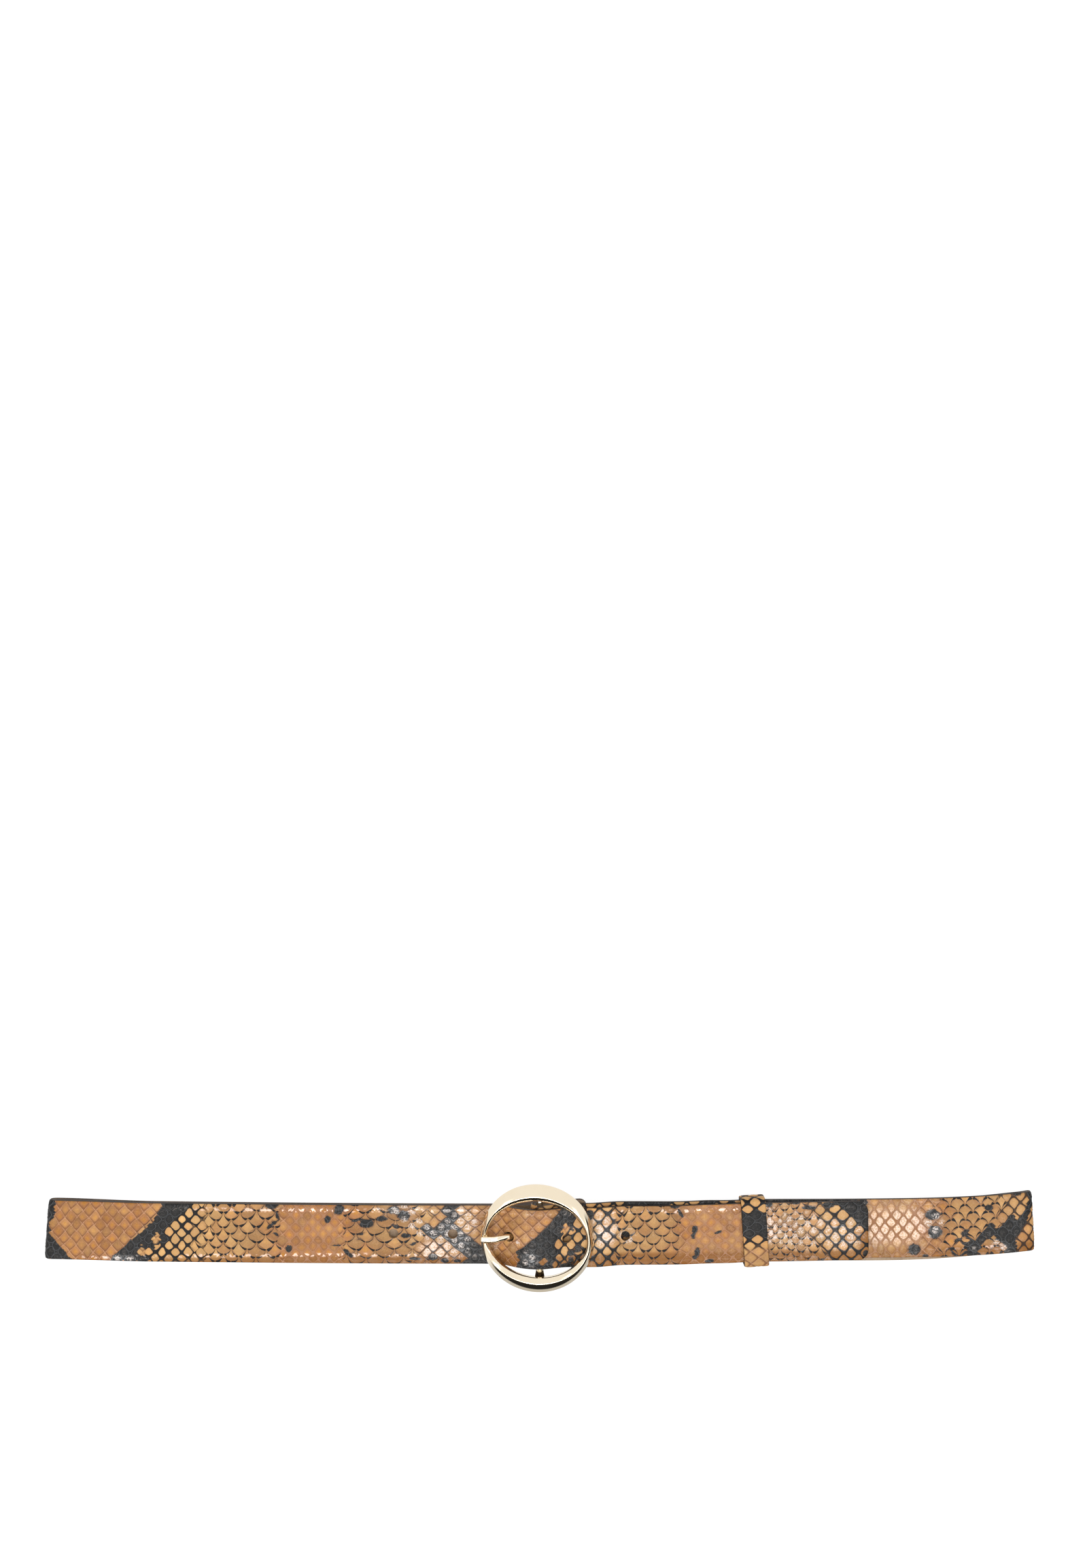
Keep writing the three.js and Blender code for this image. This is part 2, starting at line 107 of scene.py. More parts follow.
class Finish:
    """The nodes of a material or a world, written as expressions."""

    def __init__(self, owner):
        owner.use_nodes = True
        self.owner = owner
        self.tree = owner.node_tree
        self.tree.nodes.clear()

    def node(self, kind, settings=None, inputs=(), out=0):
        made = self.tree.nodes.new(kind)
        for key, value in (settings or {}).items():
            setattr(made, key, value)
        pairs = inputs.items() if isinstance(inputs, dict) else enumerate(inputs)
        for key, value in pairs:
            if isinstance(value, Value):
                self.tree.links.new(value.socket, made.inputs[key])
            else:
                made.inputs[key].default_value = value
        return Value(self, made.outputs[out]) if made.outputs else None

    def blend(self, share, a, b):
        """Colour a where share is 0, and colour b where it is 1."""
        return self.node("ShaderNodeMix", {"data_type": "RGBA"}, {0: share, 6: a, 7: b}, out=2)

    def brighten(self, colour, by):
        """A colour times a value."""
        grey = self.node("ShaderNodeCombineColor", inputs=[by, by, by])
        settings = {"data_type": "RGBA", "blend_type": "MULTIPLY"}
        return self.node("ShaderNodeMix", settings, {0: 1.0, 6: colour, 7: grey}, out=2)

    def parts(self, vector, count=3):
        return [self.node("ShaderNodeSeparateXYZ", inputs=[vector], out=k) for k in range(count)]

    def place(self):
        return self.node("ShaderNodeTexCoord", out="Object")

    def noise(self, scale, detail=2.0, roughness=0.5):
        inputs = {"Vector": self.place(), "Scale": scale, "Detail": detail, "Roughness": roughness}
        return self.node("ShaderNodeTexNoise", inputs=inputs)

    def attribute(self, name):
        """The four values of a colour attribute."""
        colour = self.node("ShaderNodeAttribute", {"attribute_name": name}, out="Color")
        parts = [self.node("ShaderNodeSeparateColor", inputs=[colour], out=k) for k in range(3)]
        return [*parts, self.node("ShaderNodeAttribute", {"attribute_name": name}, out="Alpha")]

    def bump(self, height):
        """A surface direction from a height in millimetres."""
        return self.node("ShaderNodeBump", inputs={"Strength": 1.0, "Distance": MM, "Height": height})

    def surface(self, **inputs):
        named = {key.replace("_", " "): value for key, value in inputs.items()}
        shader = self.node("ShaderNodeBsdfPrincipled", inputs=named)
        self.node("ShaderNodeOutputMaterial", inputs=[shader])
        return self.owner


def new_finish(name):
    return Finish(bpy.data.materials.new(name))


def colour(red, green, blue):
    """A colour as a screen shows it, 0 to 255, made linear."""
    return [*(((v / 255 + 0.055) / 1.055) ** 2.4 if v > 10 else v / 3294.6 for v in (red, green, blue)), 1]


# %% [markdown]
# ## The strap's line
# The strap is one length of leather, a little over a metre. Seen from its edge, it starts with a short
# flap under the buckle, folds round the bar, runs right, turns back at the right end, runs left
# underneath, turns again and comes over the buckle to its tip. So everything on the strap is first laid
# out flat, as a maker would cut it, and then this one line bends it into its place. Each station gives a
# place, a heading, the reach of the curve before and after it, and how far the strap lies to the side.

# %% The line
STRAP_HALF = 12.5
HALF_THICK = 1.25
LAYER = 2.85  # one turn of the strap and the gap above it
HALF_LENGTH = 211.4
FOLD_RADIUS = 2.9
LEFT_RADIUS = 2.3
RIGHT_RADIUS = 2.8
FLAP_X = 20
FLAP_Z = HALF_THICK + LAYER
BAR_Z = FLAP_Z + FOLD_RADIUS
FOLD_TOP_Z = BAR_Z + FOLD_RADIUS
KEEPER_X = 91.3
KEEPER_BASE_Z = FLAP_Z + 1.65
TIP_X = 140
ROUND = 0.5523  # the reach that makes a quarter circle, as a share of its radius
BAR_REACH = ROUND * FOLD_RADIUS
LEFT_REACH = ROUND * LEFT_RADIUS
RIGHT_REACH = ROUND * RIGHT_RADIUS
LEFT_X = HALF_THICK - HALF_LENGTH
RIGHT_X = HALF_LENGTH - HALF_THICK
TAIL_Z = FLAP_Z + 2 * LAYER  # the tail where it lies on the flap and the base
STATIONS = [
    # x, z, heading, reach in, reach out, aside
    ("flap", FLAP_X, FLAP_Z, 180, 0, 5, 2.3),
    ("flap", 0, FLAP_Z, 180, 5, BAR_REACH, 1.3),
    ("flap", -FOLD_RADIUS, BAR_Z, 90, BAR_REACH, BAR_REACH, 1.1),
    ("base", 0, FOLD_TOP_Z, 0, BAR_REACH, 4, 1.1),
    ("base", 10, FLAP_Z + LAYER, 0, 4, 3, 1.1),
    ("base", 20.6, FLAP_Z + LAYER, 0, 3, 5, 1.1),
    ("base", 36, FLAP_Z, 0, 6, 10, 1),
    ("base", KEEPER_X - 22, FLAP_Z, 0, 10, 6, 0.8),
    ("base", KEEPER_X - 7, KEEPER_BASE_Z, 0, 6, 4, 0.7),
    ("base", KEEPER_X + 7, KEEPER_BASE_Z, 0, 4, 8, 0.6),
    ("base", TIP_X, 4.3, 0, 20, 22, 0),
    ("base", RIGHT_X - 5.5, HALF_THICK + 2 * RIGHT_RADIUS, -2, 22, 3.2, -0.1),
    ("turn", RIGHT_X, HALF_THICK + RIGHT_RADIUS, -90, RIGHT_REACH, RIGHT_REACH, -0.6),
    ("back", RIGHT_X - RIGHT_RADIUS, HALF_THICK, 180, RIGHT_REACH, 12, -1.5),
    ("back", 165, HALF_THICK, 180, 12, 40, -2.2),
    ("back", 0, HALF_THICK, 180, 40, 40, -0.8),
    ("back", -165, HALF_THICK, 180, 40, 12, -0.7),
    ("back", LEFT_X + LEFT_RADIUS, HALF_THICK, 180, 12, LEFT_REACH, 0.2),
    ("turn", LEFT_X, HALF_THICK + LEFT_RADIUS, 90, LEFT_REACH, LEFT_REACH, 0.5),
    ("tail", LEFT_X + LEFT_RADIUS, HALF_THICK + 2 * LEFT_RADIUS, 0, LEFT_REACH, 14, 0.6),
    ("tail", -165, FLAP_Z, 0, 14, 40, -0.5),
    ("tail", -40, FLAP_Z, 0, 40, 9, -0.5),
    ("tail", -18, FLAP_Z + 1.2, 6, 8, 5, -0.2),
    ("tail", -0.5, FOLD_TOP_Z + LAYER + 0.05, 0, 9, 4, 0),
    ("tail", 12.5, TAIL_Z, 0, 4, 3, 0),
    ("tail", 23, TAIL_Z, 0, 3, 5, 0),
    ("tail", 38, FLAP_Z + LAYER, 0, 6, 10, 0),
    ("tail", KEEPER_X - 24, FLAP_Z + LAYER, 0, 10, 6, 0),
    ("tail", KEEPER_X - 8, KEEPER_BASE_Z + LAYER, 0, 6, 4, 0.15),
    ("tail", KEEPER_X + 8, KEEPER_BASE_Z + LAYER, 0, 4, 9, 0.15),
    ("tail", TIP_X, 4.45 + LAYER, 0, 20, 0, 0),
]
SPAN_STEPS = 30


def heading(angle):
    return np.array([math.cos(math.radians(angle)), math.sin(math.radians(angle))])


def line_samples():
    """Rows of x, z, the line's direction and the strap's shift to the side."""
    rows, runs = [], []
    for here, there in zip(STATIONS, STATIONS[1:]):
        start, end = np.array(here[1:3]), np.array(there[1:3])
        leave = start + heading(here[3]) * here[5]
        arrive = end - heading(there[3]) * there[4]
        for t in np.linspace(0, 1, SPAN_STEPS, endpoint=there is STATIONS[-1]):
            u = 1 - t
            point = u**3 * start + 3 * u * u * t * leave + 3 * u * t * t * arrive + t**3 * end
            ahead = u * u * (leave - start) + 2 * u * t * (arrive - leave) + t * t * (end - arrive)
            ahead = ahead / (np.linalg.norm(ahead) or 1)
            aside = here[6] + (there[6] - here[6]) * t * t * (3 - 2 * t)
            rows.append([*point, *ahead, aside])
            runs.append(here[0])
    rows[-1][2:4] = [1, 0]
    return np.array(rows), np.array(runs)


def lengths_along(points):
    """The distance from the first of a row of points to each."""
    return np.concatenate([[0], np.cumsum(np.hypot(*np.diff(points, axis=0).T))])


LINE, RUNS = line_samples()
ALONG = lengths_along(LINE[:, :2])
LENGTH = ALONG[-1]
TURNING = np.abs(np.diff(np.unwrap(np.arctan2(LINE[:, 3], LINE[:, 2])), prepend=0))
print(f"the leather is {LENGTH:.0f} mm long")


def along_at(run, x):
    """The distance along the leather of a place on one run of the loop, or beyond its end."""
    rows = RUNS == run
    order = np.argsort(LINE[rows, 0])
    places, distances = LINE[rows, 0][order], ALONG[rows][order]
    beyond = x - np.clip(x, places[0], places[-1])
    return float(np.interp(x, places, distances) + beyond * np.sign(distances[-1] - distances[0]))


def smooth_step(t):
    t = np.clip(t, 0, 1)
    return t * t * (3 - 2 * t)


def rise(x):
    """How far the belt lies towards +Y of a straight line, because it isn't laid quite straight."""
    creep = np.maximum(0, x - TIP_X) / (HALF_LENGTH - TIP_X)
    return 1.6 * (x / HALF_LENGTH) ** 2 + 1.5 * smooth_step((x - 55) / 43) + 3.3 * creep**2


def lay_strap(along, across, height):
    """Bends points of the flat leather into their place, in metres."""
    x, z, ahead_x, ahead_z, aside = (np.interp(along, ALONG, LINE[:, k]) for k in range(5))
    stretch = np.hypot(ahead_x, ahead_z)
    x = x - ahead_z / stretch * height
    z = z + ahead_x / stretch * height
    y = aside + across
    lean = rise(x + 0.5) - rise(x - 0.5) - 0.055 * (x / HALF_LENGTH) ** 6
    return np.stack([x - y * lean, y + rise(x), z], axis=1) * MM


# %% [markdown]
# ## The snake pattern
# The leather is pressed with a plate that copies snakeskin. Its scales change along the strap: small
# diamonds, then scales that lie over the next row with a dark lip, then a nearly smooth stretch. This
# table is how the plate's character changes along the leather. The rows of every table here stand under the
# run of the loop that they lie on, and they start with x.


# %% How the emboss changes along the leather
def placed(table):
    """The rows of a table, with x turned into the distance along the leather."""
    return [(along_at(run, row[0]), *row[1:]) for run, rows in table.items() for row in rows]


def columns_of(table):
    """A table's columns, in their order along the leather. The first is the place."""
    return np.array(sorted(placed(table))).T


def column_at(columns, along, k):
    return np.interp(along, columns[0], columns[k])


SCALE_LENGTH, SCALE_WIDTH, RELIEF, GROOVE, LIP, OCHRE, GLOSS = range(1, 8)
EMBOSS = columns_of({
    # x, scale length, scale width, relief, dark grooves, dark lips (below +, above -), ochre, gloss
    "flap": [(20, 6.2, 6.2, 0.7, 0.4, 0.3, 0.4, 0.2)],
    "base": [
        (0, 6.2, 6.2, 0.7, 0.4, 0.3, 0.3, 0.2), (36, 6.4, 6.2, 0.7, 0.9, 0.3, 0.2, 0.2),
        (80, 6.6, 6.2, 0.8, 0.9, 0.5, 0.3, 0.3), (130, 4.6, 5.8, 0.9, 0.8, 0, 0.3, 0.7),
        (141, 4.5, 5.8, 0.9, 0.1, 0, 0.3, 0.5), (156, 5.1, 6, 0.9, 0.1, 0, 0.35, 0.5),
        (163, 5.6, 6.2, 0.6, 0.1, 0, 0.75, 0.6), (172, 6.2, 6.1, 0.5, 0.1, -0.5, 0.85, 0.3),
        (178, 6.6, 6, 0.9, 0.25, -1, 0.55, 0.3), (190, 6.2, 5.9, 0.9, 0.4, -1, 0.4, 0.3),
        (198, 5.5, 5.9, 0.9, 0.5, -0.8, 0.4, 0.3), (209, 5.2, 6.1, 0.8, 0.4, -0.3, 0.5, 0.2),
    ],
    "back": [
        (160, 6.6, 6.4, 0.8, 0.3, 0.6, 0.5, 0.2), (0, 7.28, 6.6, 0.8, 0.2, 0.8, 0.5, 0.2),
        (-160, 6.2, 6.2, 0.7, 0.4, 0.6, 0.4, 0.2),
    ],
    "tail": [
        (-209, 5.2, 6.1, 0.5, 0, 0.1, 0.75, 0.1), (-188, 4.9, 5.8, 0.5, 0, 0.1, 0.8, 0.1),
        (-174, 5.4, 5.9, 0.6, 0, 0.1, 0.85, 0.15), (-167, 5.5, 5.7, 0.9, 0.55, 0.6, 0.3, 0.1),
        (-158, 5.5, 5.6, 1, 1, 0.9, 0.05, 0.1), (-147, 5.6, 5.6, 1, 0.75, 1, 0.15, 0.1),
        (-137, 6.4, 5.9, 1, 0.5, 1, 0.3, 0.15), (-127, 7.1, 6.4, 0.9, 0.35, 1, 0.35, 0.15),
        (-115, 8.58, 7, 0.6, 0.1, 0.9, 0.5, 0.15), (-109, 5.6, 5.6, 0.3, 0, 0, 0.95, 0.2),
        (-97, 4.6, 5.2, 0.3, 0, 0, 1, 0.2), (-86, 4.6, 5, 0.35, 0, 0, 0.9, 0.2),
        (-80, 8.14, 6.3, 0.6, 0, 0.7, 0.7, 0.2), (-66, 8.58, 6.6, 0.8, 0.05, 0.9, 0.45, 0.3),
        (-56, 7.04, 5.8, 0.9, 0.1, 0.5, 0.35, 0.4), (-46, 5.7, 5.2, 0.9, 0.2, 0.4, 0.3, 0.5),
        (-32, 6, 5.1, 0.9, 0.2, 0.4, 0.35, 0.5), (-22, 6.1, 5, 0.6, 0.1, 0.2, 0.6, 0.4),
        (-6, 5.7, 5.1, 0.6, 0.1, 0.1, 0.75, 0.6), (4, 5.5, 5.3, 0.8, 0.6, 0.3, 0.4, 0.3),
        (13, 5.6, 5.9, 1, 1, 0.5, 0.15, 0.3), (25, 6.3, 6.1, 1, 0.9, 0.8, 0.2, 0.4),
        (35, 6.8, 6.1, 1, 0.6, 1, 0.3, 0.35), (46, 7, 6.3, 0.9, 0.15, 1, 0.4, 0.25),
        (56, 7.4, 6.4, 0.6, 0, 0.8, 0.6, 0.25), (62, 5.6, 5.2, 0.35, 0, 0, 0.9, 0.25),
        (86, 5.3, 4.9, 0.35, 0, 0, 0.8, 0.35), (93, 4.3, 4.6, 0.7, 0.05, 0.4, 0.5, 0.5),
        (102, 4.1, 4.6, 0.9, 0.12, 0.5, 0.45, 0.6), (112, 5, 5.4, 1, 0.3, 0.7, 0.35, 0.6),
        (120, 6.3, 6.1, 1, 0.55, 0.8, 0.3, 0.5), (130, 6.8, 6.4, 1, 0.75, 0.8, 0.25, 0.3),
        (140, 6.6, 6.4, 1, 0.8, 0.8, 0.25, 0.2),
    ],
})
SLANTS = [(-165, 0.9, 14), (4, 1.0, 10)]  # x on the tail, slope, reach


def emboss_at(along, column):
    return column_at(EMBOSS, along, column)


def slanted(along, across):
    """Beside two of the black bands the emboss changes on a slant, as the bands lie."""
    for x, slope, reach in SLANTS:
        away = (along - along_at("tail", x)) / reach
        along = along - slope * across * np.exp(-(away**2))
    return along


def emboss_of(column):
    """One column of the table, as a function of the place on the leather."""
    return lambda along, across: emboss_at(slanted(along, across), column)


# %% [markdown]
# Dye and polish come on top of that. Every scale with its middle inside a patch is black. The four bands
# are outlines too, with a few tan diamonds left in them, and a scale that the outline of a band crosses
# turns wholly black or keeps its colour where it can. Stains are ovals that may stop half way across a
# scale. Glazed ovals shine more and get a painted glint on each scale's crown, and glare patches are pale
# rings painted on the scales as a painted highlight.


# %% Black patches and bands
def outlines_of(table):
    return [placed({run: corners}) for run, group in table.items() for corners in group]


PATCHES = outlines_of({
    "tail": [
        [(-42, 14), (-33, 14), (-36, 9), (-36, 6.8), (-34.5, 3.5), (-30, -0.5), (-24, -5), (-20, -9),
         (-20, -14), (-30.5, -14), (-31.5, -8.5), (-36.5, -6.5), (-40.5, -3.5), (-44, 0), (-47, -1.4),
         (-51, 0), (-56, 4), (-54, 6.5), (-49, 4), (-45, 4.5), (-41, 6.5), (-41, 9)],
        [(127.5, 14), (130.3, 8.8), (132.8, 5.3), (136.5, 3), (141, 3), (141, 14)],
    ],
    "base": [
        [(36.7, 9), (36.7, 14), (47.8, 14), (47.8, 9)],
        [(49.5, 9), (49.5, 14), (56, 14), (56, 9)],
        [(69, 9), (69, 14), (75.7, 14), (75.7, 9)],
        [(97, 9), (97, 14), (139, 14), (139, 9)],
    ],
    "back": [
        [(135, -14), (145, 14), (160, 14), (148, -14)],
        [(75, 14), (88, -14), (100, -14), (90, 14)],
        [(20, -14), (30, 14), (45, 14), (32, -14)],
        [(-52, 14), (-38, -14), (-28, -14), (-40, 14)],
        [(-125, -14), (-112, 14), (-98, 14), (-112, -14)],
        [(-204, 14), (-190, -14), (-178, -14), (-190, 14)],
    ],
})
BLACK_BANDS = outlines_of({
    "tail": [
        [(-220, 14), (-206, 14), (-206.4, 12.6), (-208, 10.2), (-207.2, 7.2), (-207.7, 5.4),
         (-209.2, 3.6), (-209.5, 0.6), (-208.4, -1.8), (-206.6, -4.2), (-204.8, -6.6), (-202.4, -9),
         (-199.8, -11.4), (-197.8, -14), (-220, -14)],
        [(-162, 14), (-162.6, 12.1), (-161.9, 10), (-162.3, 8.4), (-163.6, 7.4), (-164.5, 6.9),
         (-165.7, 4.8), (-167.2, 3.6), (-168.8, 1.6), (-170, 0.3), (-172.3, -1.4), (-173.8, -3.1),
         (-175.7, -5), (-176.8, -6.1), (-178.2, -7.8), (-180.2, -8.9), (-182.3, -10.2), (-183, -12.5),
         (-184.5, -14), (-169, -14), (-169, -12.2), (-169.4, -11.1), (-168.8, -9.5), (-168.4, -8.9),
         (-167, -8.3), (-166.2, -7.9), (-165.2, -6.8), (-164, -5.2), (-162.8, -4.2), (-162, -3),
         (-160.1, -2.8), (-159.3, -1.2), (-158.5, -0.2), (-158.4, 0.9), (-159.6, 1.4), (-160, 2.9),
         (-159.4, 4.5), (-157.9, 5.7), (-156.6, 6.4), (-155.6, 7.7), (-154.3, 8.5), (-153.1, 9.5),
         (-151.4, 10.8), (-150, 11.4), (-149.6, 12.1), (-148.7, 14)],
        [(9.3, 14), (9.1, 11.7), (8, 10.6), (7, 9.2), (6.1, 7.6), (4.4, 6.1), (3.2, 5.1), (1.7, 4.1),
         (0.5, 3.1), (-0.7, 2.2), (-2.1, 0.7), (-3.3, -0.3), (-4.5, -1.5), (-5.7, -2.7), (-7.8, -3.4),
         (-8.9, -5.2), (-9.5, -5.7), (-8.7, -7.4), (-8.3, -9.2), (-8.5, -10), (-9.5, -11.3),
         (-8.9, -12.4), (-9, -14), (5.5, -14), (5.5, -12.3), (4.8, -10), (6.1, -8.9), (7.1, -7.7),
         (6.3, -6.5), (5.4, -4.6), (4.7, -3.8), (2.8, -0.8), (5, 1.2), (6.4, -1.2), (7.7, -2.1),
         (9, -1.4), (10, 0.7), (12.1, 1.9), (12.8, 3.1), (14.3, 3.8), (16.2, 6.8), (17.4, 8), (19, 14)],
    ],
    "base": [
        [(181.8, -14), (181.8, -12.2), (181.6, -9.9), (179.5, -8.6), (179.7, -7.1), (181.1, -6.5),
         (182.6, -6.1), (183, -5.1), (184, -4.4), (185.9, -4.4), (186.6, -3.7), (187.5, -2.3),
         (189.1, -1.4), (190.4, 0.1), (191.8, 0.9), (192.8, 1.2), (193.5, 0.1), (194.1, -1.2),
         (195.5, -1.3), (196.5, -0.5), (197.6, 0.6), (198.8, 1.5), (199.4, 2.9), (200.2, 3.8),
         (201.2, 4.1), (202, 3.6), (202.6, 2.3), (203.3, 1.2), (204.1, 1.6), (205, 2.9), (206, 4.4),
         (206.9, 5.7), (207.6, 7.8), (208.2, 8.9), (208.7, 10.3), (208.9, 14), (213, 14), (213, 8.8),
         (210, 6.6), (209, 5), (208.2, 3), (207.6, 1.4), (206.7, -0.4), (206.1, -1.3), (204.8, -3.1),
         (204, -4.7), (202.4, -5.8), (202.1, -7.2), (202.7, -9.2), (202.4, -11.1), (200.9, -14),
         (199, -14), (198.5, -10.2), (197.6, -8.9), (196.7, -8.2), (195.9, -6.9), (194.1, -6.4),
         (193.4, -4.7), (192.8, -3.4), (191.1, -3.7), (190, -5), (189, -6.4), (187.8, -7.3),
         (187.5, -9.2), (187.4, -14)],
    ],
})
TAN_IN_BLACK = outlines_of({
    "tail": [
        [(-163.9, 0.3), (-162.1, -2), (-162.4, -3.4), (-164, -5.3), (-165.9, -2.9)],
        [(-170.3, -5), (-168.3, -7.9), (-169.3, -10), (-170.6, -9.8), (-172, -7.7)],
        [(10.9, 6.5), (12.6, 3.9), (10.5, 1.3), (8.6, 3.3)],
        [(1.5, -7), (2.7, -9), (1, -11.1), (-0.6, -9.1)],
    ],
})

# %% Stains, glazed places and painted glare patches
# Each oval has its x, y, half length, half width, and angle from the belt's length.
STAINS = placed({
    "base": [
        (178.4, -10.6, 3.2, 1.9, 0), (178.6, -7.2, 1.9, 0.8, 0), (182.6, -4.2, 1.6, 1, 0),
        (37.3, 0.6, 3, 3, 0), (159.8, -9, 2.6, 2.4, 0), (164.4, -11.8, 1.4, 0.6, 0),
        (167.9, 5.8, 3.1, 2.2, 0), (168.6, -1.6, 3, 2.8, 0), (175.6, -9.2, 1, 0.9, 0),
        (177.4, -10.2, 2.4, 1.4, 0), (178.4, -5.4, 1.9, 0.7, 20), (181.6, -2.6, 2.1, 1.5, 20),
        (191.8, 7.6, 1.8, 1.3, 0), (203.2, 13.2, 2.6, 1.6, -20),
    ],
    "tail": [
        (-114.8, 12.2, 2.8, 1.4, 0), (-114.6, 4, 2.9, 1, 38), (-112.3, 8, 2.2, 0.7, -66),
        (-112.6, -0.3, 1.8, 0.5, -55), (-107.2, -6.2, 1.4, 1.6, 0), (-90.7, 6.4, 1.3, 1.5, 0),
        (-86, 10.6, 2.2, 2.2, 0), (-86.7, -4.6, 2, 0.4, 0), (-82, -7.8, 2.7, 1.1, -42),
        (-78.2, 6.3, 2.2, 0.6, 16), (-74, 4.7, 3, 2, 0), (-67.8, 6.8, 2.8, 1.1, 0),
        (-76.5, -0.3, 2.3, 0.5, 58), (-62.5, 10.6, 2.7, 1.7, 0), (-58.2, 8.2, 2.6, 2.2, 0),
        (-61.6, 3.6, 2, 0.8, -20), (-57.3, -0.4, 2.3, 1, 0), (-54, -3.8, 1.8, 0.6, 20),
        (-53.3, -10.2, 2.4, 0.7, 0), (-45.6, -9.4, 2.1, 1.4, 0), (-40.6, -10.9, 1.8, 1.2, 0),
        (-35.2, -11.2, 1.6, 0.8, 0), (16, -4.3, 1.5, 1.7, 0), (11.2, -12, 3.2, 1.7, 0),
        (13.2, -9.4, 1.3, 1.5, 0), (13.2, -6.3, 1.7, 1.2, 0), (21.2, 9.8, 1.8, 2.2, 0),
        (57.8, 12.6, 2.3, 1.1, 0), (60.3, 9.4, 2.2, 0.6, -58), (66.2, 2.4, 1.3, 1.6, 0),
        (65.2, -0.3, 0.9, 1.2, 0), (66.8, -7.2, 1.1, 2.1, 0), (65.4, -9.4, 1, 0.9, 0),
        (71.8, -11.3, 1.9, 0.8, 0), (76.3, 0.9, 1.5, 0.5, 20), (97.4, 12, 1.5, 1.4, 0),
        (109, 12.6, 2, 0.9, 0), (114.5, 10.3, 3, 0.9, 0), (122.7, 11.2, 2.6, 1.3, 0),
        (126.6, 11.8, 1.6, 0.8, 0), (138.8, -9.6, 1.4, 1.6, 0),
    ],
})
# Glazed places shine more, and the crowns of their scales get a painted glint.
GLAZED = placed({
    "tail": [
        (-179, -11.2, 7, 1.4, 0), (-60, 10.6, 9, 2, 0), (-51, 3, 9, 3, -30), (-37, -1, 7, 8, 0),
        (-44, -6, 5, 3, 0), (-32, 6, 5, 6, 0), (-18.5, -4, 1.4, 2.2, -30), (-9, -1.5, 1, 2.6, 0),
        (-4, -8, 3, 3, 0), (27, 3, 6, 7, 0), (37, 0, 3, 3, 0), (98, 3, 3, 7, 0), (110, 1, 12, 7, 0),
        (129, -1, 8, 6, 0),
    ],
    "base": [(168, 2, 4, 6, 0), (195.5, -9, 4, 2.2, -20), (197, -10, 1.6, 1.2, 0)],
})
# Glare patches: pale rings are painted on the scales here, a painted highlight.
GLARE_PATCHES = placed({
    "base": [
        (145, 1.2, 7, 6.8, 0), (152, 1.2, 7, 7.2, 0), (158.5, 1.2, 6, 6.8, 0),
        (194.6, -8.6, 2.4, 1.4, 15),
    ],
    "tail": [(98, 1, 2.5, 5, 0), (28, 1, 3, 4, 0), (-45, -6, 6, 3, 0)],
})

# %% [markdown]
# The leather is folded down along its long edges, which leaves a crease beside each. Pale glints are
# painted along the creases. The lower edge is darkened with painted shade, and the crease there is further
# in.

# %% Along the edges
UPPER_CREASE, LOWER_CREASE = 1, 2
CREASES = columns_of({
    # x, how strongly the crease glints, as a painted highlight and in the coat, along the upper edge, and
    # along the lower edge
    "base": [(0, 0, 0), (139, 0, 0), (150, 0.2, 0.2), (185, 0.2, 0.5), (195, 0, 0.8), (203, 0, 0)],
    "back": [(0, 0, 0)],
    "tail": [
        (-200, 0, 0), (-192, 0, 0.7), (-160, 0, 0.4), (-150, 0.6, 0.8), (-100, 1, 1), (-45, 1, 0.8),
        (-25, 0.6, 0.3), (0, 0.2, 0.1), (20, 0.7, 0), (55, 0.9, 0), (85, 0.8, 0), (100, 0.3, 0),
        (141, 0, 0),
    ],
})
CREASE_IN, DARK_IN, DARKNESS = 1, 2, 3
LOW_EDGE = columns_of({
    # x, how far in the lower crease is, how far in the painted shade of the low edge starts, how dark it is
    "base": [(0, 3.8, 5, 0.9), (135, 3.8, 5.2, 0.7), (165, 3.8, 5.2, 0.7), (178, 3.4, 5.5, 1)],
    "tail": [
        (-192, 1.5, 1.8, 0), (-178, 1.7, 2.2, 0.2), (-160, 2.7, 3, 0.8), (-130, 3.2, 3.4, 0.9),
        (-100, 3.8, 4.2, 0.75), (-84, 3.8, 4.6, 0.85), (-60, 3.8, 4.2, 1), (20, 3.8, 6.6, 1),
        (75, 3.8, 6, 1), (120, 3.8, 5.6, 1),
    ],
})


def crease_glint_and_edge_shade(along, across, inward):
    """How strongly the crease glints, as a painted highlight and in the coat, and how dark the painted
    shade of the low edge is.
    """
    above = across > 0
    middle = np.where(above, 2.2, column_at(LOW_EDGE, along, CREASE_IN))
    glint_strength = np.where(above, *(column_at(CREASES, along, k) for k in (UPPER_CREASE, LOWER_CREASE)))
    crease = smooth_step((inward - middle + 0.9) / 0.4) * smooth_step((middle + 0.8 - inward) / 0.3)
    # Painted shade darkens the bevel along the lower edge.
    low = smooth_step((column_at(LOW_EDGE, along, DARK_IN) - inward) / 2)
    return [crease * glint_strength, np.where(above, 0, low) * column_at(LOW_EDGE, along, DARKNESS)]


# %% Which points are marked
def within(outline, x, y):
    """Which of the points lie within a closed outline."""
    crossed = np.zeros(x.shape, int)
    for (x1, y1), (x2, y2) in zip(outline, outline[1:] + outline[:1]):
        if y1 != y2:
            crossed += ((y1 > y) != (y2 > y)) & (x < x1 + (y - y1) * (x2 - x1) / (y2 - y1))
    return crossed % 2 == 1


def on_any(outlines, along, across):
    """Which of the points lie within any of the outlines."""
    return np.any([within(outline, along, across) for outline in outlines], axis=0)


